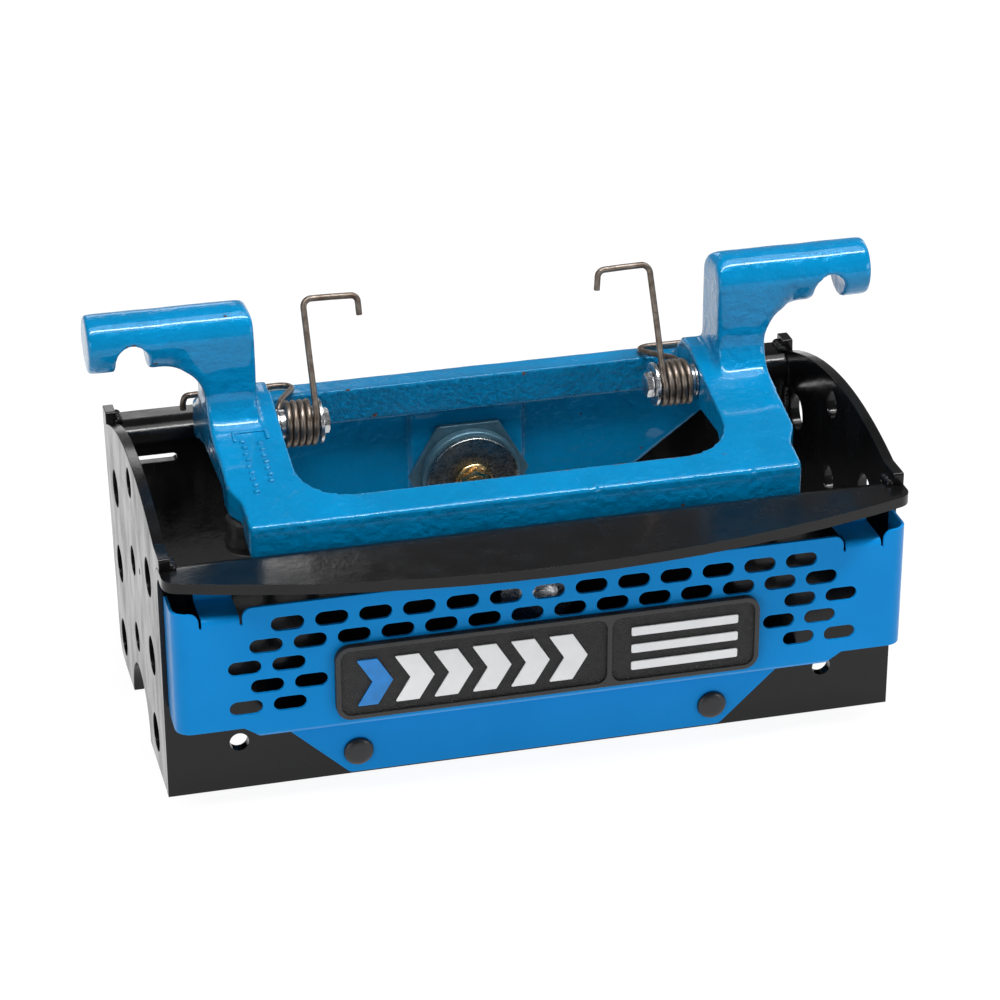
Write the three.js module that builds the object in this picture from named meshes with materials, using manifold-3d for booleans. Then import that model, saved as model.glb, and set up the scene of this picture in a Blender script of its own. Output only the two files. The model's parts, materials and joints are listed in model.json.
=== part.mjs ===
// Centre section of a fifth wheel hitch: a bolted black channel frame that carries a cast yoke.
// The yoke tilts side to side on a fore-and-aft pivot, and a pair of torsion springs on it hold
// up the coupler head that its two trunnions carry.
// Units are millimetres, +Z is up, +X is to the right and +Y points to the rear.
// Inside this file Y is measured from the outer face of the front wall; the exported group is
// shifted at the end so that its origin lies under the middle of the bounding box.

import * as THREE from 'three';
import { mergeVertices } from 'three/addons/utils/BufferGeometryUtils.js';
import Module from 'manifold-3d';

const wasm = await Module();
wasm.setup();

// ---------------------------------------------------------------- driving dimensions
const GAP = 0.3;                    // air left between pieces that touch
const PLATE = 6.35;                 // quarter-inch plate
const HALF_WIDTH = 218.4;           // outer face of a side plate (17.2 in overall)
const SIDE_INNER = HALF_WIDTH - PLATE;
const CHANNEL_HALF = SIDE_INNER - GAP;

const FRONT_FLANGE_Z = 150.4;
const FRONT_LIP_Y = -58.5;          // crown of the curved front lip
const BEND_RADIUS = 14;             // outer radius of the channel bends
const FRONT_LIP_RADIUS = 690;
const LIP_CORNER_RADIUS = 10;
const RETURN_DEPTH = 26;            // foot flange of each channel

const REAR_WEB_Y = 178;             // inner face of the rear wall
const REAR_FLANGE_Z = 152;
const REAR_EDGE_Y = 203.2;

const ARCH_Y = 97;                  // arch in the lower edge of a side plate
const ARCH_RADIUS = 32;
const HOLE_PITCH = 50.8;

const PIVOT_Z = 105;                // tilt pivot of the yoke
const PIVOT_BORE_RADIUS = 22;
const BOLT_RADIUS = 6.35;
const BOLT_HOLE_RADIUS = 6.7;
const BOLT_HEAD = 8;                // height of a pivot bolt's head with its flange
const SLEEVE_RADIUS = 12;

const COVER_Y = -28.5;              // face of the grille cover
const COVER_SHEET = 2;
const COVER_HALF = 215.5;
const COVER_TOP_Z = 131.7;
const COVER_LOW_Z = 48;
const COVER_END_LOW_Z = 55.5;
const TAB_TOP_Z = 134.5;            // the tabs stop here, under the bend of the front channel
const TAB_IN_X = 176;
const TAB_OUT_X = 200.4;
const TAB_Z = 127;                  // top of the ledge that each folded tab makes
const SLOT_PITCH = 25.1;
const SLOT_ROW = 12.7;
const SLOT_TOP_Z = 119.3;

const PLUG_X = 107;
const PLUG_Z = 16;
const PLUG_HOLE_RADIUS = 3.6;

const YOKE_FRONT_Y = 9.8;
const YOKE_REAR_Y = 175.5;
const YOKE_FRONT_Z = 160.5;
const YOKE_SLOPE = Math.tan(THREE.MathUtils.degToRad(15));
const YOKE_HALF = 169.5;
const YOKE_NOSE_HALF = 163.5;
const OPENING_HALF = 128.5;
const OPENING_FRONT_Y = 31;
const OPENING_REAR_Y = 157;
const REAR_BAR_Z = 172;
const REAR_WALL_Y = 169;
const REAR_PAD = 4;                 // the pad round the rear pivot stands this far forward
const FRONT_WALL = 10.2;            // thickness of the yoke's front wall

const TRUNNION_Y = 121;
const TRUNNION_Z = 234.4;
const TRUNNION_RADIUS = 17.5;
const TRUNNION_END = 236.5;
const POST_INNER = 139.8;
const POST_OUTER = 170;
const POST_CROWN = 9;               // radius over the inner top corner of a post
const POST_BLOCK_END = 183;         // the square post runs out into the round trunnion here
const NOTCH_X = 211;
const NOTCH_RADIUS = 9.2;
const NOTCH_Z = 227.5;

const SPRING_Y = 111;               // axis of the torsion springs
const SPRING_Z = 175;
const WIRE_RADIUS = 1.9;
const COIL_RADIUS = 12.1;
const COIL_INNER_X = 104.4;
const COIL_PITCH = 3.95;
const COIL_TURNS = 4 + 7 / 12;
const LEG_X = COIL_INNER_X + WIRE_RADIUS - 0.6;

// ---------------------------------------------------------------- helpers
const up = new THREE.Vector3(0, 0, 1);
const right = new THREE.Vector3(1, 0, 0);
const back = new THREE.Vector3(0, 1, 0);

function material(name, color, roughness, metalness) {
  return new THREE.MeshStandardMaterial({ name, color, roughness, metalness });
}

const finishes = {
  frame: () => material('frame_black', 0x0c0c0e, 0.25, 0.1),
  cover: () => material('cover_blue', 0x0a76c8, 0.35, 0.1),
  casting: () => material('casting_blue', 0x0670b4, 0.2, 0.1),
  plate: () => material('nameplate_black', 0x2a2b2c, 0.7, 0),
  zinc: () => material('zinc', 0xb9bcc0, 0.35, 0.9),
  yellowZinc: () => material('yellow_zinc', 0xc9a45a, 0.3, 0.9),
  hexPaint: () => material('pivot_paint', 0x4f87a8, 0.35, 0.2),
  spring: () => material('spring_wire', 0x6a5f57, 0.45, 0.8),
  rubber: () => material('rubber', 0x17171a, 0.85, 0),
  plug: () => material('plug_black', 0x101012, 0.5, 0),
};

// Closed polygon from [x, y] pairs.
function polygon(points) {
  return new THREE.Shape(points.map(([x, y]) => new THREE.Vector2(x, y)));
}

// Polygon whose corners are rounded by the radius given as each point's third number.
function rounded(points, segments = 5) {
  const outline = [];
  const count = points.length;
  points.forEach(([x, y, radius = 0], i) => {
    const corner = new THREE.Vector2(x, y);
    if (radius === 0) {
      outline.push(corner);
      return;
    }
    const before = new THREE.Vector2(...points[(i + count - 1) % count]).sub(corner).normalize();
    const after = new THREE.Vector2(...points[(i + 1) % count]).sub(corner).normalize();
    const half = Math.acos(THREE.MathUtils.clamp(before.dot(after), -1, 1)) / 2;
    const reach = radius / Math.tan(half);
    const start = corner.clone().addScaledVector(before, reach);
    const end = corner.clone().addScaledVector(after, reach);
    const bisector = before.clone().add(after).normalize();
    const centre = corner.clone().addScaledVector(bisector, radius / Math.sin(half));
    const from = Math.atan2(start.y - centre.y, start.x - centre.x);
    let sweep = Math.atan2(end.y - centre.y, end.x - centre.x) - from;
    if (sweep > Math.PI) sweep -= 2 * Math.PI;
    if (sweep < -Math.PI) sweep += 2 * Math.PI;
    for (let k = 0; k <= segments; k += 1) {
      const angle = from + (sweep * k) / segments;
      const arm = new THREE.Vector2(Math.cos(angle), Math.sin(angle));
      outline.push(centre.clone().addScaledVector(arm, radius));
    }
  });
  return new THREE.Shape(outline);
}

// The same points with X mirrored and in reverse order, for outlines that are symmetric.
function mirrored(points) {
  return points.map(([x, ...rest]) => [-x, ...rest]).reverse();
}

function circlePath(x, y, radius, segments = 12) {
  const points = [];
  for (let i = 0; i < segments; i += 1) {
    const angle = (2 * Math.PI * i) / segments;
    points.push(new THREE.Vector2(x + radius * Math.cos(angle), y + radius * Math.sin(angle)));
  }
  return new THREE.Path(points);
}

// Slot with round ends, lying along the first axis.
function slotPath(x, y, length, width, segments = 3) {
  const radius = width / 2;
  const reach = length / 2 - radius;
  const points = [];
  for (let i = 0; i <= segments; i += 1) {
    const angle = -Math.PI / 2 + (Math.PI * i) / segments;
    points.push(new THREE.Vector2(x + reach + radius * Math.cos(angle), y + radius * Math.sin(angle)));
  }
  for (let i = 0; i <= segments; i += 1) {
    const angle = Math.PI / 2 + (Math.PI * i) / segments;
    points.push(new THREE.Vector2(x - reach + radius * Math.cos(angle), y + radius * Math.sin(angle)));
  }
  return new THREE.Path(points);
}

function extrude(shape, depth) {
  return new THREE.ExtrudeGeometry(shape, { depth, bevelEnabled: false });
}

// A shape drawn in Y and Z, extruded along X.
function alongX(shape, x0, x1) {
  const geometry = extrude(shape, x1 - x0);
  geometry.applyMatrix4(new THREE.Matrix4().makeBasis(back, up, right));
  return geometry.translate(x0, 0, 0);
}

// A shape drawn in X and Z, extruded along Y.
function alongY(shape, y0, y1) {
  const geometry = extrude(shape, y1 - y0);
  geometry.applyMatrix4(new THREE.Matrix4().makeBasis(right, up, back.clone().negate()));
  return geometry.translate(0, y1, 0);
}

// A shape drawn in X and Y, extruded along Z.
function alongZ(shape, z0, z1) {
  return extrude(shape, z1 - z0).translate(0, 0, z0);
}

function cylinderY(radius, y0, y1, x, z, segments = 24) {
  return new THREE.CylinderGeometry(radius, radius, y1 - y0, segments).translate(x, (y0 + y1) / 2, z);
}

function cylinderX(radius, x0, x1, y, z, segments = 24) {
  const geometry = new THREE.CylinderGeometry(radius, radius, x1 - x0, segments);
  return geometry.rotateZ(Math.PI / 2).translate((x0 + x1) / 2, y, z);
}

// Hexagonal prism along Y, given its size across the flats; turned by 0 it stands on a corner.
function hexY(flats, y0, y1, x, z, turn = 0) {
  const radius = flats / Math.sqrt(3);
  const geometry = new THREE.CylinderGeometry(radius, radius, y1 - y0, 6);
  return geometry.rotateY(turn).translate(x, (y0 + y1) / 2, z);
}

function hexX(flats, x0, x1, y, z) {
  return cylinderX(flats / Math.sqrt(3), x0, x1, y, z, 6);
}

function solid(geometry) {
  const bare = geometry.clone();
  bare.deleteAttribute('normal');
  bare.deleteAttribute('uv');
  const merged = mergeVertices(bare, 1e-4);
  return new wasm.Manifold(new wasm.Mesh({
    numProp: 3,
    vertProperties: new Float32Array(merged.attributes.position.array),
    triVerts: new Uint32Array(merged.index.array),
  }));
}

function join(...geometries) {
  return geometries.map(solid).reduce((sum, next) => sum.add(next));
}

function cut(body, ...tools) {
  return tools.map(solid).reduce((rest, tool) => rest.subtract(tool), body);
}

function geometryOf(body) {
  const mesh = body.getMesh();
  const geometry = new THREE.BufferGeometry();
  geometry.setAttribute('position', new THREE.BufferAttribute(new Float32Array(mesh.vertProperties), 3));
  geometry.setIndex(new THREE.BufferAttribute(new Uint32Array(mesh.triVerts), 1));
  geometry.computeVertexNormals();
  return geometry;
}

const assembly = new THREE.Group();

function add(name, shape, finish) {
  const geometry = shape.isBufferGeometry ? shape : geometryOf(shape);
  const mesh = new THREE.Mesh(geometry, finish());
  mesh.name = name;
  assembly.add(mesh);
  return mesh;
}

const sides = [['left', -1], ['right', 1]];

// Extrusion between two distances from the middle plane, on the given side.
function sideSpan(sign, near, far) {
  return sign > 0 ? [near, far] : [-far, -near];
}

// ---------------------------------------------------------------- side plates
function sidePlate(sign) {
  const frontY = PLATE + GAP;
  const bendCentreY = PLATE - BEND_RADIUS;
  const bendCentreZ = FRONT_FLANGE_Z - BEND_RADIUS;
  const bend = [];
  for (let i = 0; i <= 4; i += 1) {
    const angle = (Math.PI / 2) * (i / 4);
    const radius = BEND_RADIUS + GAP;
    bend.push([bendCentreY + radius * Math.cos(angle), bendCentreZ + radius * Math.sin(angle)]);
  }
  const crown = new THREE.QuadraticBezierCurve(
    new THREE.Vector2(8.1, 158), new THREE.Vector2(102, 189), new THREE.Vector2(190, 151),
  ).getPoints(10).map((p) => [p.x, p.y]);
  const shape = rounded([
    [frontY, 0, 3],
    ...bend,
    [-9.6, FRONT_FLANGE_Z + GAP],
    [-9.6, 158, 1.5],
    ...crown,
    [190.5, 158, 1.5],
    [REAR_EDGE_Y, 158, 1.5],
    [REAR_EDGE_Y, 152],
    [181, 0, 14],
    [ARCH_Y + ARCH_RADIUS, 0],
  ], 4);
  for (let i = 0; i <= 12; i += 1) {
    const angle = (Math.PI * i) / 12;
    shape.lineTo(ARCH_Y + ARCH_RADIUS * Math.cos(angle), ARCH_RADIUS * Math.sin(angle));
  }
  for (let row = 0; row < 3; row += 1) {
    const drop = row * HOLE_PITCH;
    shape.holes.push(circlePath(161.6, 121.1 - drop, 11.5));
    shape.holes.push(circlePath(99.4, 154.3 - drop, 8.9));
    shape.holes.push(circlePath(37.7, 123.7 - drop, 11.5));
  }
  shape.holes.push(circlePath(72, 110, 1.8, 8));
  return alongX(shape, ...sideSpan(sign, SIDE_INNER, HALF_WIDTH));
}

// ---------------------------------------------------------------- channels
// Section of a channel: web, rounded bend and top flange, drawn in Y and Z.
// The bend's hollow side is towards the flange; direction is -1 for a flange that runs forwards.
function channelSection(webInnerY, direction, flangeY, flangeZ) {
  const webOuterY = webInnerY + direction * PLATE;
  const centreY = webInnerY + direction * BEND_RADIUS;
  const centreZ = flangeZ - BEND_RADIUS;
  const outer = [];
  const inner = [];
  for (let i = 0; i <= 6; i += 1) {
    const angle = (Math.PI / 2) * (i / 6);
    const across = direction * Math.cos(angle);
    const rise = Math.sin(angle);
    const radius = BEND_RADIUS - PLATE;
    outer.push([centreY - BEND_RADIUS * across, centreZ + BEND_RADIUS * rise]);
    inner.push([centreY - radius * across, centreZ + radius * rise]);
  }
  return polygon([
    [webOuterY, 0],
    [webInnerY, 0],
    ...outer,
    [flangeY, flangeZ],
    [flangeY, flangeZ - PLATE],
    ...inner.reverse(),
  ]);
}

// Foot flange that turns in from the bottom of a web, with a rounded heel.
function footFlange(webY, reach) {
  const low = Math.min(webY, webY + reach);
  const high = Math.max(webY, webY + reach);
  return alongX(polygon([[low, 0], [high, 0], [high, PLATE], [low, PLATE]]), -CHANNEL_HALF, CHANNEL_HALF);
}

function frontChannel() {
  const section = channelSection(PLATE, -1, FRONT_LIP_Y - 1, FRONT_FLANGE_Z);
  const bar = join(
    alongX(section, -HALF_WIDTH, HALF_WIDTH),
    footFlange(PLATE - 1, RETURN_DEPTH),
  );
  const lip = [];
  const lipAngle = Math.asin(HALF_WIDTH / FRONT_LIP_RADIUS);
  for (let i = 0; i <= 16; i += 1) {
    const angle = -lipAngle + (2 * lipAngle * i) / 16;
    lip.push([
      FRONT_LIP_RADIUS * Math.sin(angle),
      FRONT_LIP_Y + FRONT_LIP_RADIUS * (1 - Math.cos(angle)),
      i % 16 === 0 ? LIP_CORNER_RADIUS : 0,
    ]);
  }
  const plan = rounded([...lip, [HALF_WIDTH, REAR_EDGE_Y], [-HALF_WIDTH, REAR_EDGE_Y]], 5);
  const trimmed = bar.intersect(solid(alongZ(plan, -1, FRONT_FLANGE_Z + 1)));
  const drills = [
    cylinderY(BOLT_HOLE_RADIUS, -1, PLATE + 1, 0, PIVOT_Z, 20),
    ...[-1, 1].map((s) => cylinderY(5.6, -1, PLATE + 1, s * 176, 30.5, 20)),
    ...[-1, 1].map((s) => cylinderY(PLUG_HOLE_RADIUS, -1, PLATE + 1, s * PLUG_X, PLUG_Z, 16)),
  ];
  return cut(trimmed, ...drills);
}

function rearChannel() {
  const section = channelSection(REAR_WEB_Y, 1, REAR_EDGE_Y, REAR_FLANGE_Z);
  const bar = join(
    alongX(section, -CHANNEL_HALF, CHANNEL_HALF),
    footFlange(REAR_WEB_Y + 1, -RETURN_DEPTH),
  );
  const through = [REAR_WEB_Y - 1, REAR_WEB_Y + PLATE + 1];
  const slots = [-1, 1].map((s) => {
    const slot = new THREE.Shape(slotPath(s * 191, 130, 27, 5).getPoints());
    return alongY(slot, ...through);
  });
  return cut(bar, ...slots, cylinderY(BOLT_HOLE_RADIUS, ...through, 0, PIVOT_Z, 20));
}

// ---------------------------------------------------------------- grille cover
function coverPlan(inset) {
  const half = COVER_HALF - inset;
  const face = COVER_Y + inset;
  const open = inset > 0 ? 1 : -GAP;
  return rounded([
    [-half, open],
    [-half, face, 9 - inset],
    [half, face, 9 - inset],
    [half, open],
  ], 4);
}

function grilleCover() {
  const face = [
    [170.5, COVER_LOW_Z, 3],
    [177.5, COVER_END_LOW_Z, 3],
    [COVER_HALF + 1, COVER_END_LOW_Z],
    [COVER_HALF + 1, COVER_TOP_Z],
    [TAB_OUT_X, COVER_TOP_Z, 4],
    [TAB_OUT_X, TAB_Z],
    [TAB_IN_X, TAB_Z],
    [TAB_IN_X, COVER_TOP_Z, 4],
  ];
  const outline = alongY(rounded([...face, ...mirrored(face)], 2), COVER_Y - 1, 2);
  const hollow = alongZ(coverPlan(COVER_SHEET), 30, 170);
  const shell = cut(solid(alongZ(coverPlan(0), 40, 160)), hollow);
  let body = shell.intersect(solid(outline));

  const wallFront = -GAP - COVER_SHEET;
  const ledge = alongX(
    polygon([
      [COVER_Y + 0.5, COVER_LOW_Z],
      [-GAP, COVER_LOW_Z],
      [-GAP, COVER_LOW_Z + COVER_SHEET],
      [COVER_Y + 0.5, COVER_LOW_Z + COVER_SHEET],
    ]), -165, 165,
  );
  const flapShape = rounded([
    [-112, 2, 5], [112, 2, 5], [158, COVER_LOW_Z + 1], [-158, COVER_LOW_Z + 1],
  ], 3);
  body = body.add(solid(ledge)).add(solid(alongY(flapShape, wallFront, -GAP)));

  for (const s of [-1, 1]) {
    const tab = rounded([
      [COVER_Y + 0.5, TAB_Z - COVER_SHEET],
      [-GAP, TAB_Z - COVER_SHEET, 2],
      [-GAP, TAB_TOP_Z],
      [wallFront, TAB_TOP_Z],
      [wallFront, TAB_Z],
      [COVER_Y + 0.5, TAB_Z],
    ], 3);
    const near = Math.min(s * TAB_IN_X, s * TAB_OUT_X) + 0.8;
    const far = Math.max(s * TAB_IN_X, s * TAB_OUT_X) - 0.8;
    body = body.add(solid(alongX(tab, near, far)));
  }

  const slots = [];
  const slotRow = (row, places) => (
    places.forEach((place) => slots.push([SLOT_PITCH * place, SLOT_TOP_Z - SLOT_ROW * row]))
  );
  const steps = (first, count) => Array.from({ length: count }, (_, i) => first + i);
  slotRow(0, steps(-6, 13));
  slotRow(1, steps(-6.5, 14));
  for (const s of [-1, 1]) {
    slotRow(2, [s * 7, s * 6]);
    slotRow(3, [s * 6.5, s * 5.5]);
    slotRow(4, [s * 7, s * 6]);
  }
  const cutters = slots.map(([x, z]) => {
    const shape = new THREE.Shape(slotPath(x, z, 19, 8.7).getPoints());
    return alongY(shape, COVER_Y - 1, COVER_Y + COVER_SHEET + 1);
  });
  const plugHoles = [-1, 1].map((s) => (
    cylinderY(PLUG_HOLE_RADIUS, wallFront - 1, 0, s * PLUG_X, PLUG_Z, 16)
  ));
  return cut(body, ...cutters, ...plugHoles);
}

// Name plate: a shallow block with a raised rim and two sunk panels, all lettering left out.
function nameplate() {
  const back0 = COVER_Y - GAP;
  const front = back0 - 4;
  const halfX = 125;
  const low = 54.5;
  const high = 101.5;
  const block = rounded([
    [-halfX, low, 9], [halfX, low, 9], [halfX, high, 9], [-halfX, high, 9],
  ], 4);
  const panel = (x0, x1) => rounded([
    [x0, low + 4, 5], [x1, low + 4, 5], [x1, high - 4, 5], [x0, high - 4, 5],
  ], 3);
  return cut(
    solid(alongY(block, front, back0)),
    alongY(panel(-halfX + 4, 33), front - 1, front + 1.2),
    alongY(panel(37, halfX - 4), front - 1, front + 1.2),
  );
}

function pushPlug(sign) {
  const face = -2 * GAP - COVER_SHEET;
  const profile = [
    [0, face - 3.2], [5, face - 3], [7.8, face - 2], [8.8, face - 0.6], [8.8, face],
    [3.2, face], [3.2, PLATE + 5], [2.2, PLATE + 7], [0, PLATE + 7],
  ].map(([r, y]) => new THREE.Vector2(r, y));
  return new THREE.LatheGeometry(profile, 14).translate(sign * PLUG_X, 0, PLUG_Z);
}

// ---------------------------------------------------------------- pivot hardware
// Flanged hexagon head and plain shank, drawn along Y from headY towards tipY.
function pivotBolt(headY, tipY) {
  const flange = 2.4;
  return join(
    hexY(19, headY, headY + BOLT_HEAD, 0, PIVOT_Z),
    cylinderY(11.8, headY + BOLT_HEAD - flange, headY + BOLT_HEAD, 0, PIVOT_Z, 24),
    cylinderY(BOLT_RADIUS, headY + BOLT_HEAD - 1, tipY, 0, PIVOT_Z, 20),
  );
}

function ringY(outer, inner, y0, y1, segments = 24) {
  return cut(
    solid(cylinderY(outer, y0, y1, 0, PIVOT_Z, segments)),
    cylinderY(inner, y0 - 1, y1 + 1, 0, PIVOT_Z, 16),
  );
}

// Rubber ring between a pivot sleeve and the yoke's bore.
function bushing(y0, y1) {
  return ringY(PIVOT_BORE_RADIUS - GAP, SLEEVE_RADIUS + GAP, y0, y1);
}

function hexRingY(flats, inner, y0, y1, turn = 0) {
  return cut(
    solid(hexY(flats, y0, y1, 0, PIVOT_Z, turn)),
    cylinderY(inner, y0 - 1, y1 + 1, 0, PIVOT_Z, 16),
  );
}

function frontPivot() {
  const { zinc, rubber } = finishes;
  const wallBack = YOKE_FRONT_Y + FRONT_WALL;
  const washerFront = -GAP - 3.5;
  const innerWasher = wallBack + 2 + GAP;
  const nut = innerWasher + 4 + GAP;
  add('front_pivot_washer', ringY(21.6, BOLT_HOLE_RADIUS, washerFront, -GAP), zinc);
  add('front_pivot_bolt', pivotBolt(washerFront - GAP - BOLT_HEAD, 42), zinc);
  add('front_pivot_sleeve', ringY(SLEEVE_RADIUS, BOLT_HOLE_RADIUS, PLATE + GAP, wallBack + 2), zinc);
  add('front_pivot_inner_washer', ringY(28.5, BOLT_HOLE_RADIUS, innerWasher, innerWasher + 4), zinc);
  add('front_pivot_nut', hexRingY(19, BOLT_HOLE_RADIUS, nut, nut + 11), zinc);
  add('front_rubber_bushing', bushing(YOKE_FRONT_Y, wallBack), rubber);
}

function rearPivot() {
  const { zinc, yellowZinc, hexPaint, rubber } = finishes;
  const padY = REAR_WALL_Y - REAR_PAD;
  const hexBack = padY - GAP;
  const hexFront = hexBack - 3.8;
  const collarFront = hexFront - GAP - 7.4;
  const washerFront = collarFront - GAP - 4;
  const webBack = REAR_WEB_Y + PLATE;
  const nut = webBack + GAP;
  add('rear_pivot_hex', hexRingY(66, BOLT_HOLE_RADIUS, hexFront, hexBack, Math.PI / 6), hexPaint);
  add('rear_pivot_collar', ringY(31, BOLT_HOLE_RADIUS, collarFront, hexFront - GAP), hexPaint);
  add('rear_pivot_washer', ringY(28.7, BOLT_HOLE_RADIUS, washerFront, collarFront - GAP), zinc);
  add('rear_pivot_bolt', pivotBolt(washerFront - GAP - BOLT_HEAD, webBack + 17), yellowZinc);
  add('rear_pivot_sleeve', ringY(SLEEVE_RADIUS, BOLT_HOLE_RADIUS, padY, REAR_WEB_Y - GAP), zinc);
  add('rear_pivot_nut', hexRingY(19, BOLT_HOLE_RADIUS, nut, nut + 11), zinc);
  add('rear_rubber_bushing', bushing(padY, YOKE_REAR_Y), rubber);
}

// ---------------------------------------------------------------- cast yoke
// Height of the sloping top face at a distance y from the front wall.
function yokeTop(y) {
  return YOKE_FRONT_Z + YOKE_SLOPE * (y - YOKE_FRONT_Y);
}

function yokeRing() {
  const outer = [
    [YOKE_NOSE_HALF, YOKE_FRONT_Y, 3],
    [YOKE_NOSE_HALF, 33, 8],
    [YOKE_HALF, 46, 10],
    [YOKE_HALF, YOKE_REAR_Y, 12],
  ];
  const plan = rounded([...outer, ...mirrored(outer)], 4);
  const opening = rounded([
    [-OPENING_HALF, OPENING_FRONT_Y, 28],
    [OPENING_HALF, OPENING_FRONT_Y, 28],
    [OPENING_HALF, OPENING_REAR_Y, 14],
    [-OPENING_HALF, OPENING_REAR_Y, 14],
  ], 6);
  const side = rounded([
    [YOKE_FRONT_Y, 140],
    [OPENING_FRONT_Y, 146],
    [34, 152],
    [60, 152],
    [66, 160],
    [149, 160],
    [OPENING_REAR_Y, 150],
    [YOKE_REAR_Y, 150],
    [YOKE_REAR_Y, REAR_BAR_Z, 3.5],
    [OPENING_REAR_Y + 2, REAR_BAR_Z, 15],
    [141, yokeTop(124), 6],
    [124, yokeTop(124)],
    [YOKE_FRONT_Y, YOKE_FRONT_Z, 2],
  ], 4);
  const barTop = polygon([
    [-OPENING_HALF, OPENING_REAR_Y - 9],
    [OPENING_HALF, OPENING_REAR_Y - 9],
    [OPENING_HALF, OPENING_REAR_Y + 9],
    [-OPENING_HALF, OPENING_REAR_Y + 9],
  ]);
  return solid(alongX(side, -YOKE_HALF - 1, YOKE_HALF + 1))
    .intersect(solid(alongZ(plan, 130, 220)))
    .subtract(solid(alongZ(opening, 120, 230)))
    .subtract(solid(alongZ(barTop, REAR_BAR_Z, 230)));
}

// Front and rear walls hang from the ring and taper down to the pivot.
function yokeWalls() {
  const rearOutline = [
    [72, 66, 12], [153, 126.5], [YOKE_HALF - 4, 144], [YOKE_HALF - 4, 160],
  ];
  const frontOutline = [
    [60, 66, 12], [146, 130], [158, 150],
  ];
  const pad = [[35, 66, 6], [36, 152]];
  return join(
    alongY(rounded([...rearOutline, ...mirrored(rearOutline)], 4), REAR_WALL_Y, YOKE_REAR_Y),
    alongY(rounded([...pad, ...mirrored(pad)], 3), REAR_WALL_Y - REAR_PAD, REAR_WALL_Y + 1),
    alongY(
      rounded([...frontOutline, ...mirrored(frontOutline)], 4),
      YOKE_FRONT_Y,
      YOKE_FRONT_Y + FRONT_WALL,
    ),
  );
}

// One post with its trunnion: an L in front view, rounded over the top like the trunnion bar.
function yokePost(sign) {
  const front = TRUNNION_Y - TRUNNION_RADIUS;
  const rear = TRUNNION_Y + TRUNNION_RADIUS;
  const under = TRUNNION_Z - TRUNNION_RADIUS;
  const foot = 168;
  const outline = [
    [POST_INNER, foot],
    [POST_INNER, TRUNNION_Z + TRUNNION_RADIUS, POST_CROWN],
    [POST_BLOCK_END, TRUNNION_Z + TRUNNION_RADIUS],
    [POST_BLOCK_END, under + 0.5],
    [POST_OUTER, under + 0.5, 19],
    [POST_OUTER, foot],
  ].map(([x, z, r]) => [sign * x, z, r]);
  const post = solid(alongY(rounded(sign > 0 ? outline : outline.reverse(), 6), front, rear));
  const roundTop = [[front - 22, foot - 1], [front - 22, 181], [front, 196, 18]];
  for (let i = 0; i <= 12; i += 1) {
    const angle = Math.PI - (Math.PI * i) / 12;
    roundTop.push([
      TRUNNION_Y + TRUNNION_RADIUS * Math.cos(angle),
      TRUNNION_Z + TRUNNION_RADIUS * Math.sin(angle),
    ]);
  }
  roundTop.push([rear, foot - 1]);
  const shaped = post.intersect(solid(alongX(rounded(roundTop, 4), ...sideSpan(sign, 100, 240))));

  // Fillet wedge at the foot of the post, from the sloping top up to the post's front face.
  const wedge = rounded([
    [front - 24, yokeTop(front - 24) - 6],
    [front - 24, yokeTop(front - 24)],
    [front, yokeTop(front), 21],
    [front, 205],
    [front + 4, 205],
    [front + 4, yokeTop(front) - 8],
  ], 6);
  const barSpan = sideSpan(sign, POST_INNER + 20, TRUNNION_END);
  const bar = cylinderX(TRUNNION_RADIUS, ...barSpan, TRUNNION_Y, TRUNNION_Z, 36);
  return shaped
    .add(solid(alongX(wedge, ...sideSpan(sign, POST_INNER, POST_OUTER))))
    .add(solid(bar));
}

function headSupport() {
  let body = yokeRing().add(yokeWalls());
  for (const [, sign] of sides) {
    body = body.add(yokePost(sign));
    const notch = [[-NOTCH_RADIUS, NOTCH_Z - 20], [NOTCH_RADIUS, NOTCH_Z - 20]];
    for (let i = 0; i <= 10; i += 1) {
      const angle = (Math.PI * i) / 10;
      notch.push([NOTCH_RADIUS * Math.cos(angle), NOTCH_Z + NOTCH_RADIUS * Math.sin(angle)]);
    }
    const placed = notch.map(([x, z]) => [sign * NOTCH_X + x, z]);
    body = cut(
      body,
      alongY(polygon(placed), TRUNNION_Y - 30, TRUNNION_Y + 30),
      cylinderX(4.4, ...sideSpan(sign, OPENING_HALF - 2, 152), SPRING_Y, SPRING_Z, 16),
    );
  }
  return cut(
    body,
    cylinderY(PIVOT_BORE_RADIUS, YOKE_FRONT_Y - 2, YOKE_FRONT_Y + 14, 0, PIVOT_Z),
    cylinderY(PIVOT_BORE_RADIUS, REAR_WALL_Y - 4, YOKE_REAR_Y + 2, 0, PIVOT_Z),
  );
}

// ---------------------------------------------------------------- torsion springs
const wireSection = polygon(Array.from({ length: 6 }, (_, i) => [
  WIRE_RADIUS * Math.cos((Math.PI * i) / 3),
  WIRE_RADIUS * Math.sin((Math.PI * i) / 3),
]));

function wire(points, steps) {
  const path = new THREE.CatmullRomCurve3(points.map((p) => new THREE.Vector3(...p)), false, 'centripetal');
  return new THREE.ExtrudeGeometry(wireSection, { steps, extrudePath: path, bevelEnabled: false });
}

// The tangent point where the long leg leaves the front of the coil.
const LEG_TILT = Math.atan2(35.9, 62.8);
const LEG_START = [
  SPRING_Y - COIL_RADIUS * Math.cos(LEG_TILT),
  SPRING_Z + COIL_RADIUS * Math.sin(LEG_TILT),
];

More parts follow.
